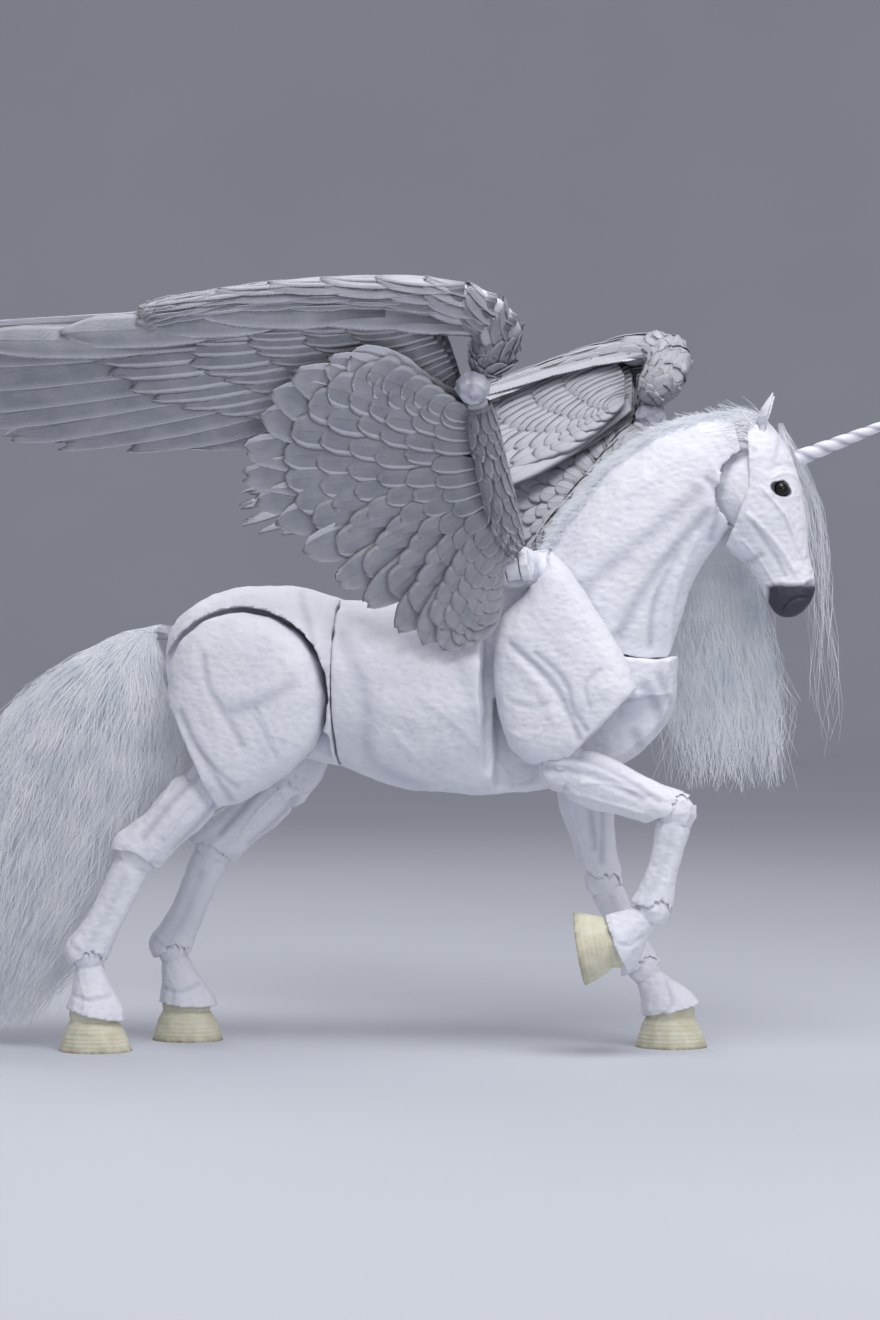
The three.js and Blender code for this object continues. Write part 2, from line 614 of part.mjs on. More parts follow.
function neckSolid() {
  const { half, thick, hub, axle, axleHalf } = NECK_STRAP;
  const crest = bentTube(
    [
      [38, 112, 22, 12], [46, 123, 22.6, 12.4], [53, 138.6, 20, 12.4], [61, 150.2, 19.2, 11.4],
      [69.6, 157.4, 18, 10.2], [78, 161.6, 16.4, 9.2], [86, 163.6, 14.6, 7.6], [90, 164, 12.4, 5.4],
    ],
    16,
  );
  const seam = [[24, 146], [-20, 150], [-20, 60], [74, 60], [68, 108.6], [34, 142]];
  const below = plate(seam, -THROUGH, THROUGH).subtract(neckBarrel(NECK.radius - GAP));
  const swing = deg(Math.asin((half + GAP) / (hub + GAP))) + 2;
  const [low, high] = NECK.limits;
  const slot = fan(NECK.radius + 10, NECK.towards - high - swing, NECK.towards - low + swing, thick + GAP, NECK);
  return crest
    .subtract(below)
    .subtract(ball(POLL.radius + GAP, POLL.radius + GAP, [POLL.x, 0, POLL.z], 20))
    .subtract(fan(40, POLL.limits[0] - 5, POLL.throat + POLL.limits[1] + 2, THROUGH, POLL))
    .subtract(slot)
    .subtract(rod("y", hub + GAP, -thick - GAP, thick + GAP, [NECK.x, 0, NECK.z], 16))
    .subtract(rod("y", axle + PIN_GAP, -axleHalf - PIN_GAP, axleHalf + PIN_GAP, [NECK.x, 0, NECK.z]))
    .subtract(leaningRod(POLL, POLL.towards, POLL_PEG.stem + PIN_GAP, 8, 21.4));
}

// The peg turns in the neck; the head nods on the tongue at its end.
const POLL_PEG = { tongue: 3.4, thick: 1.4, axle: 1.4, axleHalf: 4.6, bridge: 1.4, stem: 2.2 };

function pollPegSolid() {
  const { tongue, thick, axle, axleHalf, bridge, stem } = POLL_PEG;
  return rod("y", tongue, -thick, thick, [POLL.x, 0, POLL.z])
    .add(rod("y", axle, -axleHalf, axleHalf, [POLL.x, 0, POLL.z]))
    .add(leaningRod(POLL, POLL.towards, bridge, 1, 13.4))
    .add(leaningRod(POLL, POLL.towards, stem, 13, 21));
}

function headSolid() {
  const { tongue, thick, axle, axleHalf, bridge } = POLL_PEG;
  const centre = [POLL.x, 0, POLL.z];
  const skull = limb(
    [
      [175.6, 87.2, 90.6, 2.6], [174, 84.8, 92.6, 5], [170, 82, 95.6, 7.2], [165, 77.6, 98.4, 8.6],
      [160, 75.2, 100.2, 9.2], [155, 74.4, 101.2, 9.4], [149, 74.4, 102.2, 9], [144, 75.4, 102.7, 8],
      [140, 78.6, 103, 6.9], [136, 84.4, 103.5, 5.9], [132, 87.8, 104.6, 5.5],
      [128.6, 89.6, 104.8, 5.7], [125, 91, 103.6, 5.2], [122, 93, 101, 3.9], [120.6, 95, 98.8, 2],
    ],
    16,
  );
  const swing = deg(Math.asin((bridge + GAP) / (tongue + GAP))) + 3;
  const [low, high] = POLL.limits;
  const slot = fan(20, POLL.towards - high - swing, POLL.towards - low + swing, thick + GAP, POLL);
  const solid = skull
    .subtract(fan(60, -157, -3, THROUGH, POLL))
    .add(ball(POLL.radius, POLL.half, centre, 16))
    .subtract(slot)
    .subtract(rod("y", tongue + GAP, -thick - GAP, thick + GAP, centre))
    .subtract(rod("y", axle + PIN_GAP, -axleHalf - PIN_GAP, axleHalf + PIN_GAP, centre))
    .subtract(leaningRod(HORN, HORN.lean, HORN.peg + PIN_GAP, -6.4, 8));
  const socket = EYE.radius + PIN_GAP;
  return onBothSides(solid, (made, side) =>
    made
      .subtract(ball(socket, socket, [EYE.x, side * EYE.y, EYE.z], 10))
      .subtract(rod("z", 2.7, EAR.z, EAR.z + 5, [EAR.x, side * EAR.y, 0]))
      .subtract(earPeg(side, EAR.peg + PIN_GAP)),
  );
}

// A tapering horn whose two grooves wind from its seat to its tip.
function hornSolid() {
  const [rings, sides] = [22, 8];
  const stack = Array.from({ length: rings + 1 }, (_, r) => {
    const along = r / rings;
    const radius = lerp(HORN.radius, HORN.tip, along);
    return Array.from({ length: sides }, (_, i) => {
      const turn = (2 * Math.PI * i) / sides;
      const wind = 2 * (turn - 2 * Math.PI * HORN.turns * along);
      const dip = 1 - (HORN.groove / HORN.radius) * Math.max(0, Math.cos(wind));
      return V(radius * dip * Math.cos(turn), radius * dip * Math.sin(turn), HORN.length * along)
        .applyAxisAngle(V(0, 1, 0), rad(HORN.lean))
        .add(V(HORN.x, 0, HORN.z));
    });
  });
  return skin(stack).add(leaningRod(HORN, HORN.lean, HORN.peg, -6, 1));
}

const earPeg = (side, radius) => rod("z", radius, EAR.z - 5.4, EAR.z + 0.4, [EAR.x, side * EAR.y, 0], 8);

// A pointed ear: a tapering leaf with its hollow to the front.
function earSolid(side) {
  const tilt = V(0.36, side * 0.22, 1).normalize();
  const stations = [[0.4, 1.2, 1.4], [2.4, 2.1, 2.3], [4.8, 2, 2.1], [7.2, 1.3, 1.3], [9.4, 0.4, 0.4]];
  const leaf = skin(
    stations.map(([h, depth, width]) =>
      Array.from({ length: 10 }, (_, i) => {
        const turn = (2 * Math.PI * i) / 10;
        const hollow = Math.cos(turn) > 0.7 ? 0.3 : 1;
        const [x, y] = [depth * hollow * Math.cos(turn), width * Math.sin(turn)];
        return V(EAR.x + x, side * EAR.y + y, EAR.z).addScaledVector(tilt, h);
      }),
    ),
  );
  return leaf.add(earPeg(side, EAR.peg));
}

const eyeSolid = (side) => ball(EYE.radius, EYE.radius, [EYE.x, side * EYE.y, EYE.z], 10);

// Hair, as the bulk that the strands fill.

const maneSolid = () =>
  lock([
    [170, 62, 77, 8.2, 11.4], [160, 61, 78, 11, 15], [146, 63, 82, 12, 18.6],
    [130, 66.4, 88, 13.8, 20.4], [114, 68.4, 92, 14.4, 20.8], [102, 70.6, 91, 15.2, 20],
  ]);

const forelockSolid = () =>
  lock([[169, 93.4, 98, 5.6, 7.4], [161, 98, 102.2, 5.4, 7.6], [150, 99.4, 104.4, 5.8, 8],
    [138, 101, 105.2, 5.6, 7.6], [127, 103, 105.8, 6.4, 7.2]], 8);

// Wings, drawn for the right side: Z up the arm, X to the leading edge, -Y away from the body.

// A flat feather from its root to its tip, rolled a little so that it laps over the next one.
function feather(root, tip, width, thick, roll) {
  const [length, half] = [root.distanceTo(tip), width / 2];
  const outline = [[0, -0.5], [0.6, -1], [0.94, -0.7], [1, 0.1], [0.9, 0.85], [0.5, 1], [0, 0.5]];
  const shape = new THREE.Shape(outline.map(([u, v]) => new THREE.Vector2(u * length, v * half)));
  const vane = new THREE.ExtrudeGeometry(shape, { depth: thick, bevelEnabled: false });
  vane.translate(0, 0, -thick / 2).rotateX(rad(roll));
  const along = tip.clone().sub(root).normalize();
  const across = V(0, 1, 0).cross(along).normalize();
  const face = along.clone().cross(across);
  vane.applyMatrix4(new THREE.Matrix4().makeBasis(along, across, face).setPosition(root));
  return solidOf(vane);
}

// A row of feathers whose roots and tips follow two curves.
function featherRow(count, roots, tips, widths, { thick, roll }) {
  const rootLine = new THREE.CatmullRomCurve3(roots.map((p) => V(...p)));
  const tipLine = new THREE.CatmullRomCurve3(tips.map((p) => V(...p)));
  const row = Array.from({ length: count }, (_, i) => {
    const t = i / (count - 1);
    return feather(rootLine.getPoint(t), tipLine.getPoint(t), lerp(...widths, t), thick, roll);
  });
  return row.reduce((all, one) => all.add(one));
}

function innerWingSolid() {
  const arm = limb(
    [
      [5.8, -2.4, 2.4, 2.6], [9, -4, 3.6, 3.3], [20, -5, 4, 3.5],
      [36, -4.4, 3.6, 3.3], [46, -4.6, 3.9, 3.4], [54.6, -3.8, 3.2, 3],
    ],
  );
  const flight = featherRow(
    11,
    [[-2, 0, 50], [-2, 0, 28], [-2, 0, 8]],
    [
      [-30, 0, 73], [-50, -0.5, 68], [-64, -1, 48], [-60, -3, 27], [-42, -8, 3], [-25, -15, -12],
      [-13, -14.5, -12],
    ],
    [15, 10],
    FLIGHT_FEATHER,
  );
  const coverts = featherRow(
    7,
    [[-2, 0, 46], [-2, 0, 28], [-2, 0, 10]],
    [[-26, 0, 56], [-36, -0.5, 44], [-34, -2, 26], [-22, -5, 6], [-13, -8, -4]],
    [14, 9],
    COVERT_FEATHER,
  );
  const centre = [0, 0, ARM_LENGTH];
  return flight
    .add(coverts)
    .subtract(rod("y", WRIST.clear, -8, 4, centre, 20))
    .subtract(ball(KNUCKLE.room, KNUCKLE.room))
    .add(arm)
    .subtract(ball(WRIST.radius + GAP, WRIST.radius + GAP, centre))
    .subtract(rod("z", WRIST.stem + PIN_GAP, ARM_LENGTH - 13.4, ARM_LENGTH))
    .subtract(rod("z", KNUCKLE.stem + PIN_GAP, 0, KNUCKLE.top + PIN_GAP));
}

// The knuckle swings in the root peg's fork, and the inner wing turns on its stem.
function knuckleSolid() {
  const { tongue, radius, pin, half, stem, top } = KNUCKLE;
  return rod("x", radius - 0.5, -tongue, tongue)
    .add(block([-tongue, -1.6, 0], [tongue, 1.6, 5.4]))
    .add(rod("x", pin, PIN_GAP - half, half - PIN_GAP))
    .add(rod("z", stem, 5, top));
}

const wristBallSolid = () =>
  ball(WRIST.radius, WRIST.radius, [0, 0, ARM_LENGTH]).add(
    rod("z", WRIST.stem, ARM_LENGTH - 13, ARM_LENGTH - 2),
  );

// The hand turns on the wrist ball; its feathers pass behind the arm and the inner wing.
function outerWingSolid() {
  const back = OUTER_WING_BACK;
  const reach = (share) => -share * OUTER_WING_LENGTH;
  const cup = cushion(
    [[-6, 2.4], [-6.6, 6.4], [-3, 9.2], [3.4, 9], [7, 6], [6, 1.6], [0, 1.6]],
    [0, 6],
    [[back + 1.8, 0.8], [back, 1], [-2, 1], [-4, 0.7]],
  );
  const hand = cushion(
    [
      [6, 2], [10.4, 8], [9.6, 13.4], [3, 19], [-14, 25.6], [-40, 27.6], [-66, 26.6], [-70, 22.6],
      [-40, 15], [-16, 4], [-6, -2],
    ],
    [-16, 14],
    [[back + 2.2, 0.9], [back + 1.2, 1], [back - 1.4, 1], [back - 1.9, 0.94]],
  );
  const primaries = featherRow(
    10,
    [[-12, back, 20], [-6, back, 11], [-4, back, 2]],
    [
      [reach(1), back, 15], [reach(0.952), back, 1], [reach(0.831), back, -11.5],
      [reach(0.663), back, -18], [reach(0.458), back, -20], [reach(0.277), back, -16],
    ],
    [11, 13],
    FLIGHT_FEATHER,
  );
  const coverts = featherRow(
    6,
    [[-14, back, 21], [-6, back, 12], [-4, back, 4]],
    [
      [reach(0.639), back, 21], [reach(0.554), back, 9], [reach(0.422), back, 0],
      [reach(0.241), back, -6],
    ],
    [12, 15],
    COVERT_FEATHER,
  );
  return primaries
    .add(coverts)
    .add(hand)
    .add(cup)
    .subtract(ball(WRIST.radius + GAP, WRIST.radius + GAP));
}

// A peg with a disc on the flank and a forked knuckle, its open side away from the body.
function wingPegSolid() {
  const { radius, disc, discThick, depth } = WING_PEG;
  const { reach, half, tongue } = KNUCKLE;
  const face = -SEAM - discThick;
  const lug = (x0, x1) =>
    rod("x", KNUCKLE.radius, x0, x1, [0, -reach, 0]).add(
      block([x0, -reach, -KNUCKLE.radius], [x1, face + 0.2, KNUCKLE.radius]),
    );
  const slot = tongue + PIN_GAP;
  return rod("y", radius, face, depth - 0.4)
    .add(rod("y", disc, face, -SEAM, [0, 0, 0], 18))
    .add(lug(slot, half))
    .add(lug(-half, -slot))
    .subtract(rod("x", KNUCKLE.pin + PIN_GAP, -6, 6, [0, -reach, 0]));
}

const wingSolids = {
  peg: wingPegSolid(),
  knuckle: knuckleSolid(),
  inner: innerWingSolid(),
  ball: wristBallSolid(),
  outer: outerWingSolid(),
};

function wing(prefix, side, { swivel, spread, roll, fold }) {
  const root = new THREE.Group();
  root.position.set(WING_ROOT.x, side * WING_ROOT.y, WING_ROOT.z);
  root.rotation.y = rad(swivel);
  const knuckle = new THREE.Group();
  knuckle.position.y = side * KNUCKLE.reach;
  knuckle.rotation.x = -side * rad(spread);
  const arm = new THREE.Group();
  arm.rotation.z = -side * rad(roll);
  const hand = new THREE.Group();
  hand.position.z = ARM_LENGTH;
  hand.rotation.y = rad(fold);
  root.add(meshOf(`${prefix}_wing_root_peg`, wingSolids.peg, pegGrey, side), knuckle);
  knuckle.add(meshOf(`${prefix}_wing_knuckle`, wingSolids.knuckle, pegGrey, side), arm);
  arm.add(meshOf(`${prefix}_inner_wing`, wingSolids.inner, hide, side));
  arm.add(meshOf(`${prefix}_wrist_ball`, wingSolids.ball, pegGrey, side), hand);
  hand.add(meshOf(`${prefix}_outer_wing`, wingSolids.outer, hide, side));
  return root;
}

// The whole figure

const figure = new THREE.Group();
figure.add(
  meshOf("ribcage", ribcageSolid(), hide),
  meshOf("rump", rumpSolid(), hide),
  meshOf("neck", neckSolid(), hide),
  meshOf("poll_peg", pollPegSolid(), pegGrey),
  meshOf("head", headSolid(), hide),
  meshOf("horn", hornSolid(), hornWhite),
  meshOf("mane", maneSolid(), hair),
  meshOf("forelock", forelockSolid(), hair),
  meshOf("tail_dock", tailDockSolid(), pegGrey),
  meshOf("tail_hair", tailHairSolid(), hair),
);
const poses = {
  right: { hind: standingPose(hindLeg, -1, RIGHT_HIND), front: RIGHT_FRONT, wing: RIGHT_WING },
  left: {
    hind: standingPose(hindLeg, -1, LEFT_HIND),
    front: standingPose(frontLeg, 1, LEFT_FRONT),
    wing: LEFT_WING,
  },
};
Object.entries(poses).forEach(([name, pose]) => {
  const side = name === "right" ? -1 : 1;
  const hipPeg = meshOf(`${name}_hip_peg`, legPeg, pegGrey, side);
  hipPeg.position.set(HIP.x, 0, HIP.z);
  const shoulderPeg = meshOf(`${name}_shoulder_peg`, legPeg, pegGrey, side);
  shoulderPeg.position.set(SHOULDER.x, 0, SHOULDER.z);
  figure.add(hipPeg, shoulderPeg);
  figure.add(meshOf(`${name}_ear`, earSolid(side), hide));
  figure.add(meshOf(`${name}_eye`, eyeSolid(side), eyeBlack));
  figure.add(leg(`${name}_hind`, side, hindLeg, pose.hind));
  figure.add(leg(`${name}_front`, side, frontLeg, pose.front));
  figure.add(wing(name, side, pose.wing));
});

// The origin lies on the floor under the middle of the whole figure.
figure.updateMatrixWorld(true);
const middle = new THREE.Box3().setFromObject(figure, true).getCenter(V(0, 0, 0));
figure.position.set(-middle.x, -middle.y, 0);

export default figure;
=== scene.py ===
"""Winged unicorn figurine: sculpted hide, feathers, hoofs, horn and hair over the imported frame."""

import json
import math

import bmesh
import bpy
import numpy as np
from mathutils import Matrix, Vector, noise
from mathutils.kdtree import KDTree

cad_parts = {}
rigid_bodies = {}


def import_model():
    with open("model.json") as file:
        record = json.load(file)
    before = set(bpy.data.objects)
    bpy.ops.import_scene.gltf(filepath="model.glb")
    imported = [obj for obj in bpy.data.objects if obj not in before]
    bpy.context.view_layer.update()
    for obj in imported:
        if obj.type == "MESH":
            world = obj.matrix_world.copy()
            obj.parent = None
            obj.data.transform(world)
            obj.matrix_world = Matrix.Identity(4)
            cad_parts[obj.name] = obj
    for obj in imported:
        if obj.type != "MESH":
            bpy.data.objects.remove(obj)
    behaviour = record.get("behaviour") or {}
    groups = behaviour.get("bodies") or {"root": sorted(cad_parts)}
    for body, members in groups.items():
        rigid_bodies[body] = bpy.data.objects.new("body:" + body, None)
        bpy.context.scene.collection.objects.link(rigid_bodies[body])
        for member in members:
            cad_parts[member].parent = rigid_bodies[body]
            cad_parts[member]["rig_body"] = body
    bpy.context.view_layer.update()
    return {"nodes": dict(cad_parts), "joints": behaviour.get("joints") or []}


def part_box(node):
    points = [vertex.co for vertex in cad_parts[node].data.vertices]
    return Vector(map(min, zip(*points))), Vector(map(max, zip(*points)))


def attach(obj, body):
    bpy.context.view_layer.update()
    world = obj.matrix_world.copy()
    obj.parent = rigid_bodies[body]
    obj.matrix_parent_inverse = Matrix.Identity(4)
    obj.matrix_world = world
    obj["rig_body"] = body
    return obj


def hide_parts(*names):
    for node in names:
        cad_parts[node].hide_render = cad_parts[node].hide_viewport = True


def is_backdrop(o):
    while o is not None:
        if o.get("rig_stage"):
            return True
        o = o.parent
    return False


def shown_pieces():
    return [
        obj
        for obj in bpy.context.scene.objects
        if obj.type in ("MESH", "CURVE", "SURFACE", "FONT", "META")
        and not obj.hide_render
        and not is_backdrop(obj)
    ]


bl_info = {
    "name": "Winged Unicorn Figurine",
    "version": (1, 0, 0),
    "blender": (4, 5, 0),
    "location": "View3D > Sidebar > Unicorn",
    "description": "Sculpts, feathers and hairs a jointed winged unicorn over its packed frame",
    "category": "Object",
}

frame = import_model()
NODES = frame["nodes"]
JOINTS = {joint["name"]: joint for joint in frame["joints"]}
MM = 0.001


def centre_of(joint):
    return Vector(JOINTS[joint]["pos_m"])


# The photo's scale: metres for one pixel at the middle plane, and the pixel of that plane's origin.
PIXEL = 0.2821 * MM
PIXEL_UP = 0.28 * MM
PHOTO_ZERO = (440, 1052)
FLANK_SHIFT = 1.586 * MM  # a flank is seen this much to the front or back of the middle plane
NECK_AT = Vector((59.5, 0, 137.8)) * MM  # the neck's joint, counted from the photo's origin
ORIGIN = centre_of("neck_pitch") - NECK_AT

SIDES = {"right": -1, "left": 1}
SEED = 7


def on_flank(px, py):
    """A pixel of the photo as (x, z) on the near flank, in the frame."""
    x = (px - PHOTO_ZERO[0]) * PIXEL + FLANK_SHIFT + ORIGIN.x
    return x, (PHOTO_ZERO[1] - py) * PIXEL_UP


# Sculpting.


HARD_ANGLE = math.radians(44)  # a solid's edges bent more than this stay crisp
EDGE_STEP = 0.16 * MM
SNAP_SHARE = 0.62  # of a voxel: vertices nearer than this move onto the hard edge
LEAST_RELAX = 0.02
FULL_GROOVE = 0.5 * MM  # a groove this deep gets the full painted shade
# a hollow this deep gets the full painted shade
FULL_HOLLOW = 0.09 * MM
FAR = 9.0  # metres: further than anything in the frame


def body_of(node):
    return NODES[node]["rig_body"]


def new_object(name, data, body, material):
    piece = bpy.data.objects.new(name, data)
    bpy.context.scene.collection.objects.link(piece)
    data.materials.clear()
    data.materials.append(material)
    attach(piece, body)
    return piece


def mesh_from(bm, name):
    """A named mesh of a bmesh, which is freed."""
    mesh = bpy.data.meshes.new(name)
    bm.to_mesh(mesh)
    bm.free()
    return mesh


def smooth(mesh):
    for face in mesh.polygons:
        face.use_smooth = True


def coordinates(mesh):
    points = np.empty(len(mesh.vertices) * 3)
    mesh.vertices.foreach_get("co", points)
    return points.reshape(-1, 3)


def normals(mesh):
    found = np.empty(len(mesh.vertices) * 3)
    mesh.vertices.foreach_get("normal", found)
    return found.reshape(-1, 3)


def set_coordinates(mesh, points):
    mesh.vertices.foreach_set("co", points.astype(np.float32).ravel())
    mesh.update()


def add_tint(mesh, name, values):
    """A named grey value per vertex, which materials read by its name."""
    layer = mesh.attributes.new(name, "FLOAT", "POINT")
    layer.data.foreach_set("value", np.clip(values, 0, 1).astype(np.float32))


def sharp_edges(mesh):
    """Points along the hard edges of a merged solid, as a tree to measure distances from."""
    bm = bmesh.new()
    bm.from_mesh(mesh)
    points = []
    for edge in bm.edges:
        if len(edge.link_faces) == 2 and edge.calc_face_angle(0) > HARD_ANGLE:
            a, b = (vert.co for vert in edge.verts)
            count = max(2, int((b - a).length / EDGE_STEP))
            points += [a.lerp(b, i / (count - 1)) for i in range(count)]
    bm.free()
    tree = KDTree(max(1, len(points)))
    for i, point in enumerate(points or [Vector((FAR, FAR, FAR))]):
        tree.insert(point, i)
    tree.balance()
    return tree


def relax(mesh, weights, times):
    """Moves every vertex towards the mean of its neighbours, by its own weight."""
    edges = np.empty(len(mesh.edges) * 2, np.int32)
    mesh.edges.foreach_get("vertices", edges)
    a, b = edges.reshape(-1, 2).T
    count = len(mesh.vertices)
    degree = np.maximum(1, np.bincount(a, minlength=count) + np.bincount(b, minlength=count))
    points = coordinates(mesh)
    for _ in range(times):
        mean = np.stack(
            [
                np.bincount(a, points[b, k], count) + np.bincount(b, points[a, k], count)
                for k in range(3)
            ],
            axis=1,
        )
        points += (mean / degree[:, None] - points) * (0.5 * weights)[:, None]
    set_coordinates(mesh, points)


def moulded(node, voxel, times, keep=(0.6 * MM, 3 * MM)):
    """A close-meshed copy of a solid, its facets relaxed and its seams left crisp.

    Vertices nearer to a hard edge than the first length of `keep` hardly move, past the second freely.
    """
    bm = bmesh.new()
    bm.from_mesh(NODES[node].data)
    bmesh.ops.remove_doubles(bm, verts=bm.verts, dist=1e-6)
    bmesh.ops.recalc_face_normals(bm, faces=bm.faces)
    merged = mesh_from(bm, f"{node}_shell")
    tree = sharp_edges(merged)
    draft = bpy.data.objects.new("draft", merged)
    bpy.context.scene.collection.objects.link(draft)
    remesh = draft.modifiers.new("remesh", "REMESH")
    remesh.mode = "VOXEL"
    remesh.voxel_size = voxel
    graph = bpy.context.evaluated_depsgraph_get()
    made = bpy.data.meshes.new_from_object(draft.evaluated_get(graph))
    bpy.data.objects.remove(draft)
    bpy.data.meshes.remove(merged)
    made.name = f"{node}_shell"
    away = np.empty(len(made.vertices))
    for i, vert in enumerate(made.vertices):
        edge, _, away[i] = tree.find(vert.co)
        if away[i] < SNAP_SHARE * voxel:
            vert.co = edge
    weights = np.clip((away - keep[0]) / (keep[1] - keep[0]), LEAST_RELAX, 1)
    relax(made, weights, times)
    smooth(made)
    return made


def distance_to_line(flat, line):
    """The distance of points from a polyline, all in one plane."""
    nearest = np.full(len(flat), FAR)
    for start, end in zip(line[:-1], line[1:]):
        start, end = np.array(start), np.array(end)
        along = end - start
        t = np.clip(((flat - start) @ along) / (along @ along), 0, 1)
        gap = np.linalg.norm(flat - (start + t[:, None] * along), axis=1)
        nearest = np.minimum(nearest, gap)
    return nearest


def smooth_line(points, steps=5):
    """A curve through a few points, as a finer polyline."""
    padded = [points[0], *points, points[-1]]
    line = []
    for p0, p1, p2, p3 in zip(padded, padded[1:], padded[2:], padded[3:]):
        for i in range(steps):
            t = i / steps
            line.append(
                tuple(
                    0.5
                    * (
                        2 * b
                        + (c - a) * t
                        + (2 * a - 5 * b + 4 * c - d) * t * t
                        + (3 * b - a - 3 * c + d) * t**3
                    )
                    for a, b, c, d in zip(p0, p1, p2, p3)
                )
            )
    return [*line, tuple(points[-1])]


def carve(mesh, strokes, flat, facing):
    """Presses grooves and raises ridges along strokes (line, half width, height).

    Returns how deep in a groove each vertex lies, which sets the painted shade there.
    """
    points, out = coordinates(mesh), normals(mesh)
    groove = np.zeros(len(points))
    lift = np.zeros(len(points))
    for line, width, height in strokes:
        near = np.exp(-((distance_to_line(flat, smooth_line(line)) / width) ** 2)) * facing
        lift += height * near
        if height < 0:
            groove = np.maximum(groove, near * min(1, -height / FULL_GROOVE))
    set_coordinates(mesh, points + out * lift[:, None])
    return groove


def roughen(mesh, size, height, seed=0.0):
    """Soft lumps and folds of a size and height over the whole skin."""
    points, out = coordinates(mesh), normals(mesh)
    lift = np.array(
        [noise.fractal(Vector(p) / size + Vector((seed, 0, 0)), 1.0, 2.0, 3) for p in points]
    )
    set_coordinates(mesh, points + out * (height * lift)[:, None])


def hollows(mesh):
    """How concave the skin is at each vertex, from 0 to 1."""
    before, out = coordinates(mesh), normals(mesh)
    copy = mesh.copy()
    relax(copy, np.ones(len(before)), 3)
    rise = ((coordinates(copy) - before) * out).sum(axis=1)
    bpy.data.meshes.remove(copy)
    return np.clip(rise / FULL_HOLLOW, 0, 1)


# Materials.


class Nodes:
    """A material's node tree, with short calls for the nodes used here."""

    def __init__(self, name):
        self.material = bpy.data.materials.new(name)
        self.material.use_nodes = True
        self.tree = self.material.node_tree
        self.shader = self.tree.nodes["Principled BSDF"]
        self.place = self.tree.nodes.new("ShaderNodeTexCoord").outputs["Object"]

    def link(self, source, target):
        self.tree.links.new(source, target)

    def noise(self, scale, detail=3.0, rough=0.55, vector=None):
        node = self.tree.nodes.new("ShaderNodeTexNoise")
        node.inputs["Scale"].default_value = scale
        node.inputs["Detail"].default_value = detail
        node.inputs["Roughness"].default_value = rough
        self.link(vector or self.place, node.inputs["Vector"])
        return node.outputs["Fac"]

    def stretched(self, factors):
        """Object coordinates drawn out along an axis, for marks that run with the hair."""
        node = self.tree.nodes.new("ShaderNodeVectorMath")
        node.operation = "MULTIPLY"
        node.inputs[1].default_value = factors
        self.link(self.place, node.inputs[0])
        return node.outputs["Vector"]

    def cells(self, scale, vector):
        node = self.tree.nodes.new("ShaderNodeTexVoronoi")
        node.feature = "SMOOTH_F1"
        node.inputs["Scale"].default_value = scale
        node.inputs["Smoothness"].default_value = 0.6
        self.link(vector, node.inputs["Vector"])
        return node.outputs["Distance"]

    def wave(self, vector, scale, distortion, detail_scale):
        node = self.tree.nodes.new("ShaderNodeTexWave")
        node.inputs["Scale"].default_value = scale
        node.inputs["Distortion"].default_value = distortion
        node.inputs["Detail Scale"].default_value = detail_scale
        self.link(vector, node.inputs["Vector"])
        return node.outputs["Fac"]

    def attribute(self, name):
        node = self.tree.nodes.new("ShaderNodeAttribute")
        node.attribute_name = name
        return node.outputs["Fac"]

    def vector(self, x):
        """A vector along x, for bands that run across one value."""
        node = self.tree.nodes.new("ShaderNodeCombineXYZ")
        self.link(x, node.inputs["X"])
        return node.outputs["Vector"]

    def math(self, kind, a, b):
        node = self.tree.nodes.new("ShaderNodeMath")
        node.operation = kind
        for socket, value in zip(node.inputs, (a, b)):
            if isinstance(value, (int, float)):
                socket.default_value = value
            else:
                self.link(value, socket)
        return node.outputs["Value"]

    def spread(self, value, low, high, to_low=0.0, to_high=1.0):
        """Maps the range from low to high onto another one, and stops at its ends."""
        node = self.tree.nodes.new("ShaderNodeMapRange")
        limits = {"From Min": low, "From Max": high, "To Min": to_low, "To Max": to_high}
        for socket, number in limits.items():
            node.inputs[socket].default_value = number
        self.link(value, node.inputs["Value"])
        return node.outputs["Result"]

    def mix(self, share, a, b):
        node = self.tree.nodes.new("ShaderNodeMix")
        node.data_type = "RGBA"
        self.link(share, node.inputs["Factor"])
        for socket, value in ((node.inputs["A"], a), (node.inputs["B"], b)):
            if isinstance(value, (tuple, list)) or hasattr(value, "r"):
                socket.default_value = (*tuple(value)[:3], 1)
            else:
                self.link(value, socket)
        return node.outputs["Result"]

    def bump(self, height, distance, strength, under=None):
        node = self.tree.nodes.new("ShaderNodeBump")
        node.inputs["Distance"].default_value = distance
        node.inputs["Strength"].default_value = strength
        self.link(height, node.inputs["Height"])
        if under:
            self.link(under, node.inputs["Normal"])
        return node.outputs["Normal"]

    def finish(self, colour, roughness, normal=None, specular=0.4):
        self.link(colour, self.shader.inputs["Base Color"])
        if isinstance(roughness, float):
            self.shader.inputs["Roughness"].default_value = roughness
        else:
            self.link(roughness, self.shader.inputs["Roughness"])
        self.shader.inputs["Specular IOR Level"].default_value = specular
        if normal:
            self.link(normal, self.shader.inputs["Normal"])
        return self.material


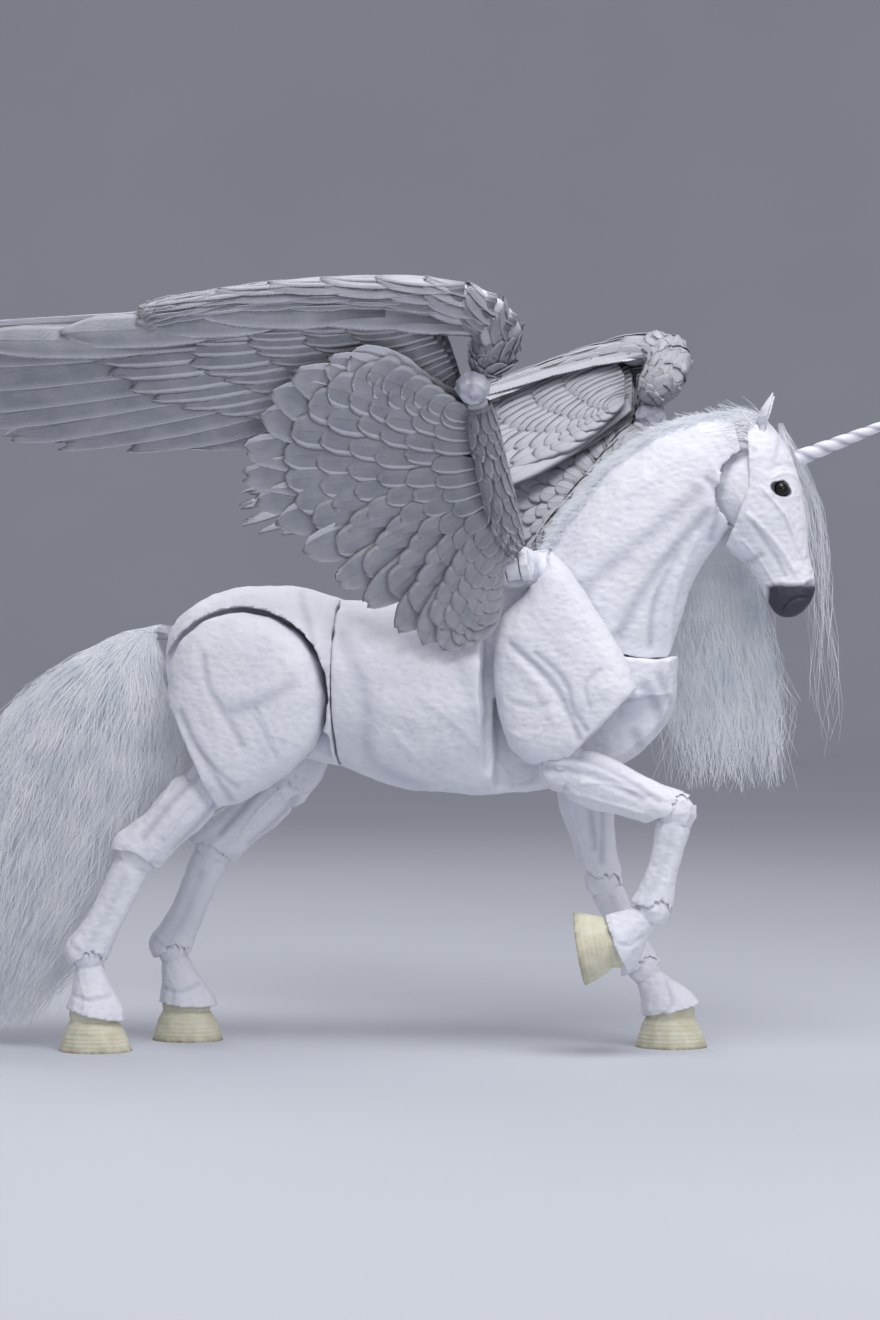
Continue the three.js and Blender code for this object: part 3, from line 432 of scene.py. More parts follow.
def coat_material(settings):
    """Pearly white paint over short hair: fine creases, with painted shade in the creases, the hollows
    and the low spots of the wrinkles.
    """
    n = Nodes("coat")
    fold = n.attribute("fold")
    dusk = n.attribute("dusk")
    mottle = n.spread(n.noise(60, 3), 0.35, 0.7)
    colour = n.mix(mottle, settings.coat, settings.coat_shade)
    hairs = n.noise(900, 4, 0.6, n.stretched((0.65, 0.85, 1.0)))
    wrinkles = n.spread(n.cells(620, n.stretched((0.65, 0.85, 1.0))), 0.1, 0.75)
    # painted shade in the low spots of the fine wrinkles
    wrinkle_shade = n.math("MULTIPLY", n.spread(wrinkles, 0.3, 0.0), 0.08)
    colour = n.mix(wrinkle_shade, colour, settings.shade_and_mottle)
    # painted shade in the carved creases and hollows
    colour = n.mix(n.math("MULTIPLY", fold, 0.42), colour, settings.shade_and_mottle)
    colour = n.mix(n.spread(dusk, 0.3, 0.75), colour, settings.muzzle)
    height = n.math("ADD", n.math("MULTIPLY", hairs, 0.9), n.math("MULTIPLY", wrinkles, 0.8))
    fine = n.bump(height, 0.22 * MM, 0.8)
    return n.finish(colour, n.spread(mottle, 0, 1, 0.5, 0.62), fine, 0.42)


def hoof_material(settings):
    """Cream horn in rings that grow down from the coronet, darker in patches towards the ground edge."""
    n = Nodes("hoof")
    height = n.attribute("height")
    ridges = n.wave(n.vector(height), 2.6, 3.0, 1.5)
    streaks = n.noise(260, 4)
    colour = n.mix(n.spread(streaks, 0.3, 0.7), settings.hoof, settings.hoof_shade)
    colour = n.mix(n.math("MULTIPLY", ridges, 0.07), colour, settings.hoof_shade)
    # darker in patches towards the ground edge
    ground = n.math("MULTIPLY", n.spread(height, 0.2, 0.02), n.spread(n.noise(330, 3), 0.2, 0.6))
    colour = n.mix(n.math("MULTIPLY", ground, 0.7), colour, settings.hoof_lower_edge)
    lump = n.bump(ridges, 0.2 * MM, 0.4)
    return n.finish(colour, 0.62, n.bump(n.noise(900, 4), 0.15 * MM, 0.6, lump), 0.35)


def horn_material(settings):
    n = Nodes("horn")
    groove = n.attribute("fold")
    colour = n.mix(n.spread(n.noise(300, 4), 0.3, 0.7), settings.horn, settings.coat_shade)
    # painted shade in the spiral groove
    colour = n.mix(n.math("MULTIPLY", groove, 0.8), colour, settings.shade_and_mottle)
    return n.finish(colour, 0.42, n.bump(n.noise(1500, 4), 0.12 * MM, 0.5), 0.45)


def feather_material(settings):
    """Painted feathers: a shaft and slanting barbs, with painted shade near the root and on faces that
    turn outwards, painted light where they face up, and a painted highlight on the rim.
    """
    n = Nodes("feather")
    uv = n.tree.nodes.new("ShaderNodeUVMap")
    uv.uv_map = "vane"
    split = n.tree.nodes.new("ShaderNodeSeparateXYZ")
    n.link(uv.outputs["UV"], split.inputs["Vector"])
    along, across = split.outputs["X"], split.outputs["Y"]
    side = n.math("ABSOLUTE", n.math("SUBTRACT", across, 0.5), 0.0)
    slant = n.math("ADD", along, n.math("MULTIPLY", side, -0.9))
    barbs = n.wave(n.vector(slant), 9, 2.2, 3.0)
    shaft = n.spread(side, 0.05, 0.0)
    rim = n.math("MAXIMUM", n.spread(side, 0.36, 0.5), n.spread(along, 0.88, 1.0))
    root = n.spread(along, 0.4, 0.0)
    under = n.attribute("under")
    patches = n.spread(n.noise(130, 4), 0.3, 0.7)
    above = n.mix(patches, settings.coat, settings.coat_shade)
    below = n.mix(patches, settings.feather, settings.feather_shade)
    # under: painted shade, grey on faces that turn outwards, with the coat's white painted where they
    # face up
    colour = n.mix(under, above, below)
    dark = n.mix(under, settings.shade_and_mottle, settings.feather_root_shade)
    shaded = n.spread(under, 0, 1, 0.3, 0.75)
    # painted shade near each feather's root, where the next feather laps over it
    colour = n.mix(n.math("MULTIPLY", root, shaded), colour, dark)
    colour = n.mix(n.math("MULTIPLY", barbs, n.spread(under, 0, 1, 0.08, 0.2)), colour, dark)
    # painted highlight on each feather's rim and tip
    colour = n.mix(n.math("MULTIPLY", rim, 0.5), colour, settings.feather_rim_highlight)
    height = n.math("ADD", n.math("MULTIPLY", barbs, 0.7), n.math("MULTIPLY", shaft, 1.2))
    fine = n.bump(height, 0.3 * MM, 0.8)
    return n.finish(colour, 0.6, n.bump(n.noise(700, 4), 0.2 * MM, 0.6, fine), 0.35)


def hair_material(settings):
    """White strands; a faint glow stands for the light that fine pale hair passes on."""
    n = Nodes("hair")
    colour = n.mix(n.spread(n.noise(120, 5), 0.3, 0.7), settings.hair, settings.hair_shade)
    n.link(colour, n.shader.inputs["Emission Color"])
    n.shader.inputs["Emission Strength"].default_value = 0.07
    return n.finish(colour, n.spread(n.noise(300, 2), 0.3, 0.7, 0.5, 0.7), None, 0.3)


def eye_material(settings):
    n = Nodes("eye")
    colour = n.mix(n.spread(n.noise(700, 2), 0.4, 0.8), settings.eye, settings.iris)
    return n.finish(colour, 0.1, None, 0.35)


def peg_material(settings):
    n = Nodes("peg")
    colour = n.mix(n.spread(n.noise(400, 4), 0.3, 0.7), settings.peg, settings.shade_and_mottle)
    return n.finish(colour, 0.5, n.bump(n.noise(1200, 4), 0.12 * MM, 0.5), 0.4)


MAKERS = {
    "coat": coat_material,
    "hoof": hoof_material,
    "horn": horn_material,
    "feather": feather_material,
    "hair": hair_material,
    "eye": eye_material,
    "peg": peg_material,
}
MATERIALS = {}


def material(kind):
    """The material of a kind, made once."""
    if kind not in MATERIALS:
        MATERIALS[kind] = MAKERS[kind](bpy.context.scene.unicorn_finish)
    return MATERIALS[kind]


# Legs.


CHAINS = {
    "front": {
        "bones": ("shoulder", "forearm", "cannon", "pastern", "hoof"),
        "joints": ("shoulder_swing", "elbow_bend", "knee_bend", "fetlock_bend", "coronet_tilt"),
    },
    "hind": {
        "bones": ("haunch", "gaskin", "cannon", "pastern", "hoof"),
        "joints": ("hip_swing", "stifle_bend", "hock_bend", "fetlock_bend", "coronet_tilt"),
    },
}
HOOF_INDEX = 4
HOOF_LEAN = {"right_front": math.radians(-80.5)}  # the raised hoof; the others stand level
HOOF_HEIGHT = 10 * MM
HOOF_RIDGE = 0.028 * MM
# How the shoulder and haunch, and the narrower bones below them, are meshed and roughened.
LARGE_SHELL = {"voxel": 0.62 * MM, "times": 40, "lump": 7 * MM, "rise": 0.3 * MM}
SMALL_SHELL = {"voxel": 0.48 * MM, "times": 22, "lump": 4 * MM, "rise": 0.16 * MM}


class Bone:
    """A leg bone's own plane: x forward and z up when it hangs straight down."""

    def __init__(self, side, end, index):
        joints = CHAINS[end]["joints"]
        self.top = centre_of(f"{side}_{end}_{joints[index]}")
        if index + 1 < len(joints):
            down = centre_of(f"{side}_{end}_{joints[index + 1]}") - self.top
        else:
            lean = HOOF_LEAN.get(f"{side}_{end}", 0.0)
            down = Vector((math.sin(lean), 0, -math.cos(lean)))
        self.length = down.length
        down.normalize()
        self.axes = np.array([[-down.z, down.x], [-down.x, -down.z]])

    def inwards(self, points):
        flat = np.asarray(points)[:, [0, 2]] if np.shape(points)[1] == 3 else np.asarray(points)
        return (flat - np.array([self.top.x, self.top.z])) @ self.axes.T


# Folds, muscle edges and veins as the photo shows them on the near side: pixels, then the half width
# and the height in millimetres, below zero for a groove.
STROKES = {
    "ribcage": [
        ([(345, 640), (372, 700), (372, 760), (420, 790)], 2.2, -0.35),
        ([(352, 618), (402, 640), (470, 650)], 2.6, -0.25),
        ([(400, 735), (440, 775), (500, 790), (530, 798)], 1.0, 0.35),
        ([(430, 700), (470, 735), (500, 775)], 0.7, 0.3),
        ([(450, 640), (475, 700), (485, 760)], 2.0, -0.3),
        ([(640, 690), (655, 720), (650, 760)], 1.6, -0.7),
        ([(655, 680), (668, 715), (662, 750)], 1.2, -0.5),
        ([(628, 735), (640, 760), (640, 785)], 1.4, -0.6),
        ([(430, 800), (470, 800), (520, 806)], 0.6, 0.3),
    ],
    "rump": [
        ([(345, 600), (335, 650), (332, 700)], 3.0, -0.3),
        ([(230, 600), (280, 592), (330, 598)], 2.6, 0.25),
        ([(300, 596), (312, 625), (322, 668)], 1.0, -0.35),
    ],
    "neck": [
        ([(700, 520), (650, 580), (615, 640)], 1.7, -0.8),
        ([(690, 500), (640, 545), (590, 585), (570, 610)], 2.4, -0.5),
        ([(665, 470), (620, 500), (580, 545)], 2.2, 0.4),
        ([(672, 560), (650, 605), (645, 650)], 1.0, -0.5),
        ([(690, 540), (668, 600), (662, 655)], 0.8, 0.4),
        ([(630, 560), (610, 600), (600, 640)], 2.4, 0.5),
        ([(700, 485), (712, 505), (704, 545)], 1.0, -0.7),
        ([(705, 470), (716, 500), (708, 530)], 0.7, 0.3),
    ],
    "head": [
        ([(703, 520), (712, 548), (735, 566), (752, 560)], 0.9, -0.45),
        ([(712, 500), (722, 470), (745, 458)], 1.0, -0.3),
        ([(740, 520), (765, 545), (785, 575)], 0.8, 0.55),
        ([(745, 530), (765, 560), (775, 580)], 0.8, -0.4),
        ([(755, 495), (775, 520), (795, 560)], 0.45, 0.35),
        ([(775, 515), (785, 545), (800, 575)], 0.4, 0.3),
        ([(735, 545), (755, 570), (770, 596)], 0.45, 0.3),
        ([(764, 484), (772, 480), (782, 480), (791, 487)], 0.45, 0.3),
        ([(770, 500), (778, 504), (788, 501)], 0.4, 0.2),
        ([(762, 476), (775, 470), (790, 475)], 0.7, -0.25),
        ([(772, 614), (784, 603), (800, 600)], 0.35, -0.6),
        ([(794, 588), (799, 583), (805, 584), (806, 590), (801, 594), (795, 592)], 0.45, 0.35),
        ([(798, 588), (802, 588)], 0.75, -1.0),
        ([(790, 480), (800, 520), (806, 560)], 0.9, -0.25),
        ([(766, 470), (772, 440), (768, 428)], 0.9, -0.25),
    ],
    "shoulder": [
        ([(512, 647), (537, 669), (557, 691), (570, 716), (579, 740)], 1.0, -0.75),
        ([(537, 656), (557, 673), (569, 691), (573, 709), (586, 731)], 0.8, -0.6),
        ([(599, 673), (586, 687), (590, 709)], 0.7, -0.35),
        ([(514, 704), (537, 709), (550, 704)], 0.8, -0.3),
        ([(510, 731), (528, 740), (543, 731)], 0.4, 0.3),
        ([(520, 665), (542, 690), (556, 722)], 1.4, 0.35),
        ([(606, 690), (614, 706), (616, 726)], 3.6, 0.5),
    ],
    "haunch": [
        ([(189, 714), (203, 743), (219, 769), (238, 801)], 1.1, -0.6),
        ([(213, 660), (219, 689), (238, 721), (251, 746)], 1.2, -0.45),
        ([(206, 750), (226, 772), (245, 788)], 0.8, -0.4),
        ([(242, 713), (267, 707), (299, 688)], 1.8, -0.35),
        ([(215, 690), (240, 700), (275, 688), (305, 664)], 3.2, 0.4),
        ([(267, 708), (277, 724), (290, 756)], 0.45, 0.3),
        ([(277, 734), (296, 740)], 0.45, 0.3),
        ([(262, 716), (272, 731), (284, 758)], 0.5, -0.25),
    ],
    "forearm": [
        ([(545, 768), (590, 775), (640, 798)], 1.2, -0.7),
        ([(570, 755), (610, 770), (655, 800)], 1.0, -0.55),
        ([(560, 790), (600, 800), (640, 812)], 0.5, 0.4),
        ([(590, 752), (630, 768), (665, 792)], 0.9, 0.35),
        ([(580, 783), (606, 783), (632, 790)], 0.45, 0.35),
    ],
    "gaskin": [
        ([(205, 775), (180, 800), (150, 838)], 1.2, -0.6),
        ([(225, 800), (205, 825), (180, 850)], 1.0, -0.5),
        ([(180, 778), (165, 805), (140, 825)], 0.5, 0.4),
        ([(210, 790), (190, 812), (172, 838)], 0.5, 0.4),
        ([(130, 850), (150, 862), (172, 866)], 0.8, -0.3),
    ],
    "front_cannon": [
        ([(668, 830), (658, 865), (640, 900)], 1.3, -0.22),
        ([(682, 825), (670, 862), (655, 900)], 0.8, 0.18),
        ([(640, 905), (655, 915), (668, 912)], 0.7, -0.3),
    ],
    "hind_cannon": [
        ([(128, 880), (112, 915), (92, 950)], 1.3, -0.24),
        ([(142, 885), (124, 920), (104, 958)], 0.8, 0.2),
        ([(75, 945), (92, 955), (108, 958)], 0.7, -0.3),
    ],
    "front_pastern": [
        ([(600, 925), (622, 940), (640, 932)], 0.7, -0.35),
        ([(606, 905), (614, 930), (610, 955)], 0.5, 0.25),
    ],
    "hind_pastern": [
        ([(78, 995), (96, 1000), (114, 996)], 0.7, -0.35),
        ([(84, 975), (92, 1000), (90, 1015)], 0.5, 0.25),
    ],
}


def drawn(name):
    """The strokes of a piece in metres on the near flank."""
    return [
        ([on_flank(px, py) for px, py in line], width * MM, height * MM)
        for line, width, height in STROKES[name]
    ]


def facing_side(mesh, side=None):
    """How far the skin faces a flank; both flanks if no side is named."""
    y = normals(mesh)[:, 1]
    return np.clip((np.abs(y) if side is None else y * side) * 2.2, 0, 1)


def finish_shell(node, mesh, fold, dusk=None):
    """Paints a sculpted shell: painted shade by `fold` in its creases and hollows, and the dark paint of
    muzzle and lids by `dusk`.
    """
    # fold: painted shade from groove depth and concave hollows
    add_tint(mesh, "fold", np.maximum(fold, hollows(mesh) * 0.6))
    add_tint(mesh, "dusk", np.zeros(len(mesh.vertices)) if dusk is None else dusk)
    piece = new_object(f"{node}_skin", mesh, body_of(node), material("coat"))
    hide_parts(node)
    return piece


def sculpt_trunk(node, voxel, times, height):
    """A shell of the trunk, carved alike on both flanks."""
    mesh = moulded(node, voxel, times)
    roughen(mesh, 9 * MM, height)
    points = coordinates(mesh)
    fold = carve(mesh, drawn(node), points[:, [0, 2]], facing_side(mesh))
    roughen(mesh, 2.2 * MM, 0.09 * MM, 5.0)
    return mesh, fold


def sculpt_bone(side, end, index):
    """A shell of a leg, carved alike on both sides of the figure whatever its pose."""
    bone_name = CHAINS[end]["bones"][index]
    node = f"{side}_{end}_{bone_name}"
    large = index == 0
    grain = LARGE_SHELL if large else SMALL_SHELL
    mesh = moulded(node, grain["voxel"], grain["times"])
    roughen(mesh, grain["lump"], grain["rise"], index * 3.7)
    bone, model = Bone(side, end, index), Bone("right", end, index)
    key = bone_name if bone_name in STROKES else f"{end}_{bone_name}"
    strokes = [
        ([tuple(p) for p in model.inwards(line)], width, height)
        for line, width, height in drawn(key)
    ]
    flat = bone.inwards(coordinates(mesh))
    facing = facing_side(mesh, SIDES[side]) if large else facing_side(mesh)
    fold = carve(mesh, strokes, flat, facing)
    roughen(mesh, 1.8 * MM, 0.07 * MM, 2.0)
    finish_shell(node, mesh, fold)


def sculpt_hoof(side, end):
    """A hoof with faint growth rings that wander round its wall."""
    node = f"{side}_{end}_hoof"
    mesh = moulded(node, 0.4 * MM, 14, keep=(0.3 * MM, 1.6 * MM))
    bone = Bone(side, end, HOOF_INDEX)
    height = (bone.inwards(coordinates(mesh))[:, 1] + HOOF_HEIGHT) / HOOF_HEIGHT
    out = normals(mesh)
    wander = np.array([noise.noise(Vector(p) / (5 * MM)) for p in coordinates(mesh)])
    ridge = HOOF_RIDGE * np.sin(height * 58 + wander * 5) * np.clip(height * 6, 0, 1)
    set_coordinates(mesh, coordinates(mesh) + out * ridge[:, None])
    add_tint(mesh, "height", height)
    piece = new_object(f"{node}_horn", mesh, body_of(node), material("hoof"))
    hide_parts(node)


# Wings.


# The curves that feathers run between, their roots and their tips, in millimetres in wing axes.
INNER_ROOTS = [(-2, 0, 50), (-2, 0, 28), (-2, 0, 8)]
INNER_TIPS = [
    (-30, 0, 73), (-50, -0.5, 68), (-64, -1, 48), (-60, -3, 27), (-42, -8, 3), (-25, -15, -12),
    (-13, -14.5, -12),
]
OUTER_BACK = 5.8
OUTER_ROOTS = [(-12, OUTER_BACK, 20), (-6, OUTER_BACK, 11), (-4, OUTER_BACK, 2)]
OUTER_TIPS = [
    (-166, OUTER_BACK, 15), (-158, OUTER_BACK, 1), (-138, OUTER_BACK, -11.5),
    (-110, OUTER_BACK, -18), (-76, OUTER_BACK, -20), (-46, OUTER_BACK, -16),
]
# Both limbs as stations: x, z and half thickness.
ARM_LINE = [(0, 6.2, 2.6), (0, 9, 3.6), (-0.4, 20, 4.2), (-0.3, 36, 3.7), (-0.3, 46, 4), (0, 54, 3.2)]
HAND_LINE = [
    (-0.5, 3.4, 1.6), (3.4, 5.6, 6), (7, 13, 6.2), (0, 21.4, 5.2), (-18, 25.2, 4), (-42, 26, 3.2),
    (-66, 24.4, 2.4), (-86, 21, 1.6),
]
# Long lobed feathers rolled over the top of the hand: root and tip, then the width.
EDGE_LOBES = [
    ((4, 18), (-36, 27.4), 9), ((-6, 21), (-50, 27), 9.4), ((-22, 23.4), (-70, 26.4), 9.6),
    ((-40, 23), (-86, 22), 8.6), ((-56, 20.6), (-106, 19.4), 8.4), ((-72, 16), (-128, 18), 8.2),
]
OUTER_FOLD = {"right": math.radians(9), "left": math.radians(-30)}
LIMB_UV = (0.5, 0.25)  # a plain spot of the feather paint, off its shaft and rim


def both_faces(rows):
    """The same rows on the outer and the inner face of a wing."""
    return [{**row, "way": way} for row in rows for way in (1, -1)]


# Each row starts and ends at shares of the way from the roots to the tips; it has a count of
# feathers, their width at its first and last, and its lift off the wing's middle.
INNER_ROWS = [
    {"start": 0.3, "end": 1.0, "count": 17, "width": (14.5, 10), "lift": 0.0},
    *both_faces(
        [
            {"start": 0.56, "end": 0.83, "count": 17, "width": (12.4, 9), "lift": 0.6},
            {"start": 0.42, "end": 0.7, "count": 16, "width": (11.4, 8.4), "lift": 0.95},
            {"start": 0.3, "end": 0.57, "count": 15, "width": (10, 7.4), "lift": 1.3},
            {"start": 0.2, "end": 0.45, "count": 14, "width": (8.8, 6.6), "lift": 1.65},
            {"start": 0.1, "end": 0.33, "count": 14, "width": (7.6, 5.8), "lift": 2.0},
            {"start": 0.02, "end": 0.21, "count": 13, "width": (6.4, 5), "lift": 2.4},
        ]
    ),
]
OUTER_ROWS = [
    {
        "start": 0.0, "end": 1.0, "count": 11, "width": (9.4, 13), "lift": 0.0, "shoulder": 0.6,
        "sweep": 0.16,
    },
    *both_faces(
        [
            {"start": 0.16, "end": 0.6, "count": 13, "width": (10, 12), "lift": 0.7, "shoulder": 0.55},
            {"start": 0.12, "end": 0.44, "count": 14, "width": (9.4, 11), "lift": 1.1},
            {"start": 0.08, "end": 0.32, "count": 14, "width": (8.4, 9.6), "lift": 1.5},
            {"start": 0.04, "end": 0.22, "count": 13, "width": (7.4, 8.2), "lift": 1.9},
            {"start": 0.01, "end": 0.14, "count": 12, "width": (6.4, 7), "lift": 2.3},
        ]
    ),
]


class WingFrame:
    """Places points drawn for the right wing: z up the arm, x to its leading edge, -y outwards."""

    def __init__(self, side, hand):
        start = centre_of(f"{side}_wing_roll")
        wrist = centre_of(f"{side}_wing_fold")
        up = (wrist - start).normalized()
        across = Vector(JOINTS[f"{side}_wing_fold"]["axis"]).normalized()
        if across.y < 0:
            across.negate()
        ahead = across.cross(up).normalized()
        self.origin = wrist if hand else start
        if hand:
            turn = Matrix.Rotation(OUTER_FOLD[side], 3, across)
            up, ahead = turn @ up, turn @ ahead
        self.axes = (ahead, across * -SIDES[side], up)

    def put(self, point):
        """A point in millimetres in the wing's own axes, in the frame."""
        return self.origin + sum((axis * (v * MM) for axis, v in zip(self.axes, point)), Vector())


def along_curve(points, t):
    """A point on the smooth curve through a few control points."""
    line = smooth_line(points, 12)
    place = t * (len(line) - 1)
    i = min(int(place), len(line) - 2)
    return Vector(line[i]).lerp(Vector(line[i + 1]), place - i)


def vane_half(u, width, shoulder):
    """Half the width of a feather at a share of its length: full to its shoulder, then rounded."""
    base = 0.5 + 0.5 * min(1, u / 0.45)
    past = max(0.0, (u - shoulder) / (1 - shoulder))
    return width / 2 * base * max(0.16, math.sqrt(max(0.0, 1 - past**2)))


def face_outwards(bm, skin, verts):
    """Turns a closed skin right side out, by the sign of its volume."""
    bmesh.ops.recalc_face_normals(bm, faces=skin)
    middle = sum((vert.co for vert in verts), Vector()) / len(verts)
    volume = sum(f.normal.dot(f.calc_center_median() - middle) * f.calc_area() for f in skin)
    if volume < 0:
        bmesh.ops.reverse_faces(bm, faces=skin)


def feather_vane(bm, place, root, tip, width, lift, form, out):
    """One closed feather, bowed towards the side it faces and ragged at its rim."""
    along = tip - root
    length = along.length
    along.normalize()
    across = out.cross(along).normalized()
    face = along.cross(across)
    length_ways, cross_ways = 9, 6
    grid = bmesh.ops.create_grid(bm, x_segments=length_ways, y_segments=cross_ways, size=0.5)
    verts = grid["verts"]
    vane = bm.loops.layers.uv["vane"]
    spots = {}
    for vert in verts:
        u, v = 1 - (0.5 - vert.co.x) ** 1.5, vert.co.y * 2
        spots[vert] = (u, v)
        half = vane_half(u, width, form["shoulder"])
        ragged = 1 + 0.025 * math.sin(form["seed"] * 5 + u * 19 + v * 3) * abs(v)
        bend = form["sweep"] * width * (u * u - 0.6 * u)
        camber = width * (form["camber"] * (1 - v * v) + form["lap"] * v)
        at = root + along * (u * length * ragged) + across * (v * half + bend)
        vert.co = at + face * (camber + lift)
    faces = list({face for vert in verts for face in vert.link_faces})
    for quad in faces:
        for loop in quad.loops:
            u, v = spots[loop.vert]
            loop[vane].uv = (u, v / 2 + 0.5)
        quad.smooth = True
    made = bmesh.ops.solidify(bm, geom=faces, thickness=form["thick"])["geom"]
    added = [item for item in made if isinstance(item, bmesh.types.BMFace)]
    for face in added:
        face.smooth = True
    everything = {vert for face in faces + added for vert in face.verts}
    for vert in everything:
        vert.co = place.put(vert.co)
    face_outwards(bm, list({face for vert in everything for face in vert.link_faces}), everything)


def feather_rows(bm, place, roots, tips, rows):
    """Rows of feathers that follow two curves, each row lapped over the one beyond it."""
    for number, row in enumerate(rows):
        for i in range(row["count"]):
            jitter = noise.noise(Vector((i * 1.7, number * 3.1, 0.4)))
            t = min(1, max(0, (i + row.get("offset", 0) + 0.25 * jitter) / (row["count"] - 1)))
            root, tip = along_curve(roots, t), along_curve(tips, t)
            start = root.lerp(tip, row["start"])
            end = root.lerp(tip, row["end"] * (1 + 0.025 * jitter))
            width = row["width"][0] + (row["width"][1] - row["width"][0]) * t
            form = {
                "seed": i + number * 13.7,
                "shoulder": row.get("shoulder", 0.62),
                "sweep": row.get("sweep", 0.1) * (1 + jitter),
                "camber": 0.03,
                "lap": 0.036,
                "thick": row.get("thick", 0.35),
            }
            lift = row["lift"] + 0.06 * jitter
            feather_vane(bm, place, start, end, width, lift, form, Vector((0, row.get("way", 1), 0)))


def scales_round(bm, place, line, deep, rings, sides, long, wide, tips_up):
    """Small feathers laid like scales round a limb [x, z, half thickness], tips all one way."""
    for r in range(rings):
        t = (r + 0.4) / rings
        for k in range(sides):
            turn = math.radians(-132 + 264 * (k + 0.5 * (r % 2)) / (sides - 0.5))
            jitter = noise.noise(Vector((r * 1.3, k * 2.1, 0.7)))
            ends = []
            for share, rise in ((t, 0.1), (t + (long[0] + (long[1] - long[0]) * t) * tips_up, 0.9)):
                x, z, half = along_curve(line, min(1, max(0, share)))
                a = along_curve(line, min(1, max(0, share + 0.02)))
                b = along_curve(line, min(1, max(0, share - 0.02)))
                ahead = Vector((a.y - b.y, 0, b.x - a.x)).normalized()
                out = ahead * math.cos(turn) + Vector((0, 0.8 * math.sin(turn), 0))
                ends.append((Vector((x, deep, z)) + out * (half + rise), out))
            (root, out), (tip, _) = ends
            if (tip - root).length < 1:
                continue
            width = (wide[0] + (wide[1] - wide[0]) * t) * (1 + 0.2 * jitter)
            form = {
                "seed": r + k * 3.3, "shoulder": 0.5, "sweep": 0.1 * jitter, "camber": 0.07, "lap": 0.02,
                "thick": 0.3,
            }
            feather_vane(bm, place, root, tip, width, 0.08 * (k % 3), form, out.normalized())


def edge_lobes(bm, place, deep):
    """The thick feathers rolled over the leading edge, on its outer and its inner slope."""
    for i, (root, tip, width) in enumerate(EDGE_LOBES):
        for way in (1, -1):
            form = {
                "seed": i * 2.9 + way, "shoulder": 0.74, "sweep": -0.05, "camber": 0.14, "lap": 0,
                "thick": 0.9,
            }
            start = Vector((root[0], deep + way * 1.6, root[1] - 2))
            end = Vector((tip[0] + way, deep + way * 0.7, tip[1] - 2.4))
            feather_vane(bm, place, start, end, width, 1.5, form, Vector((0, way, 0.62)))


def paint_under(mesh, place):
    """Marks a wing's painted shade: faces that turn outwards are painted grey, and what faces up is
    painted light.
    """
    facing = normals(mesh)
    outer = facing @ -np.array(place.axes[1])
    add_tint(mesh, "under", 0.5 + 1.6 * outer - 3 * np.clip(facing[:, 2] - 0.4, 0, 1))


def feather_object(name, side, node, hand, rows, roots, tips):
    """All the feathers of an inner wing, or of an outer one (`hand`), as one piece."""
    bm = bmesh.new()
    bm.loops.layers.uv.new("vane")
    place = WingFrame(side, hand)
    feather_rows(bm, place, roots, tips, rows)
    if hand:
        scales_round(bm, place, HAND_LINE, OUTER_BACK, 14, 10, (0.1, 0.22), (5.4, 7), 1)
        edge_lobes(bm, place, OUTER_BACK)
    else:
        scales_round(bm, place, ARM_LINE, 0, 12, 9, (0.17, 0.17), (5.4, 5), -1)
    mesh = mesh_from(bm, name)
    paint_under(mesh, place)
    return new_object(name, mesh, body_of(node), material("feather"))


def ringed_skin(bm, count, sides, place):
    """Bridges circles into one closed skin; place(r, spot) moves each point of ring r."""
    previous, made = None, []
    for r in range(count):
        capped = r in (0, count - 1)
        ring = bmesh.ops.create_circle(bm, segments=sides, radius=1, cap_ends=capped)["verts"]
        for vert in ring:
            vert.co = place(r, vert.co)
        edges = list({e for v in ring for e in v.link_edges if all(w in ring for w in e.verts)})
        if previous:
            bmesh.ops.bridge_loops(bm, edges=previous + edges)
        previous = edges
        made += ring
    return made


def wing_limb(name, side, node, hand, stations, deep):
    """The arm or the hand's leading edge, through stations [x, z, half thickness] in wing axes."""
    place = WingFrame(side, hand)
    line = [Vector(point) for point in smooth_line([tuple(s) for s in stations], 6)]
    rings = []
    for i, point in enumerate(line):
        ahead = (line[min(i + 1, len(line) - 1)] - line[max(i - 1, 0)]).normalized()
        out = Vector((ahead.y, 0, -ahead.x)).normalized()
        rings.append((Vector((point.x, deep, point.y)), out * point.z, Vector((0, point.z * 0.8, 0))))

    def oval(r, spot):
        centre, first, second = rings[r]
        return centre + first * spot.x + second * spot.y

    bm = bmesh.new()
    for vert in ringed_skin(bm, len(rings), 16, oval):
        vert.co = place.put(vert.co)
    bmesh.ops.recalc_face_normals(bm, faces=bm.faces)
    vane = bm.loops.layers.uv.new("vane")
    for face in bm.faces:
        for loop in face.loops:
            loop[vane].uv = LIMB_UV
    mesh = mesh_from(bm, name)
    smooth(mesh)
    roughen(mesh, 4 * MM, 0.3 * MM)
    paint_under(mesh, place)
    return new_object(name, mesh, body_of(node), material("feather"))


# Head and horn.


MUZZLE_CORNER = (751, 583)  # pixel of the dark muzzle's upper rear corner
HORN_SEAT = Vector((99.3, 0, 164.6)) * MM + Vector((ORIGIN.x, ORIGIN.y, 0))
HORN_LEAN = math.radians(69)
HORN_LENGTH = 46 * MM
HORN_RADIUS = 2.35 * MM
HORN_TIP = 0.4 * MM
HORN_TURNS = 4.5
HORN_GROOVE = 0.16  # of the radius
HORN_RINGS = 90


def muzzle_share(points):
    """How dark the muzzle's slate paint is at each point, with a wandering edge."""
    wander = np.array([noise.noise(Vector(p) / (5 * MM)) for p in points]) * 0.7 * MM
    rear, top = on_flank(*MUZZLE_CORNER)
    lower = (top - points[:, 2] + wander) / (3 * MM)
    ahead = (points[:, 0] - rear + wander) / (3.4 * MM)
    return np.clip(np.minimum(lower, ahead), 0, 1)


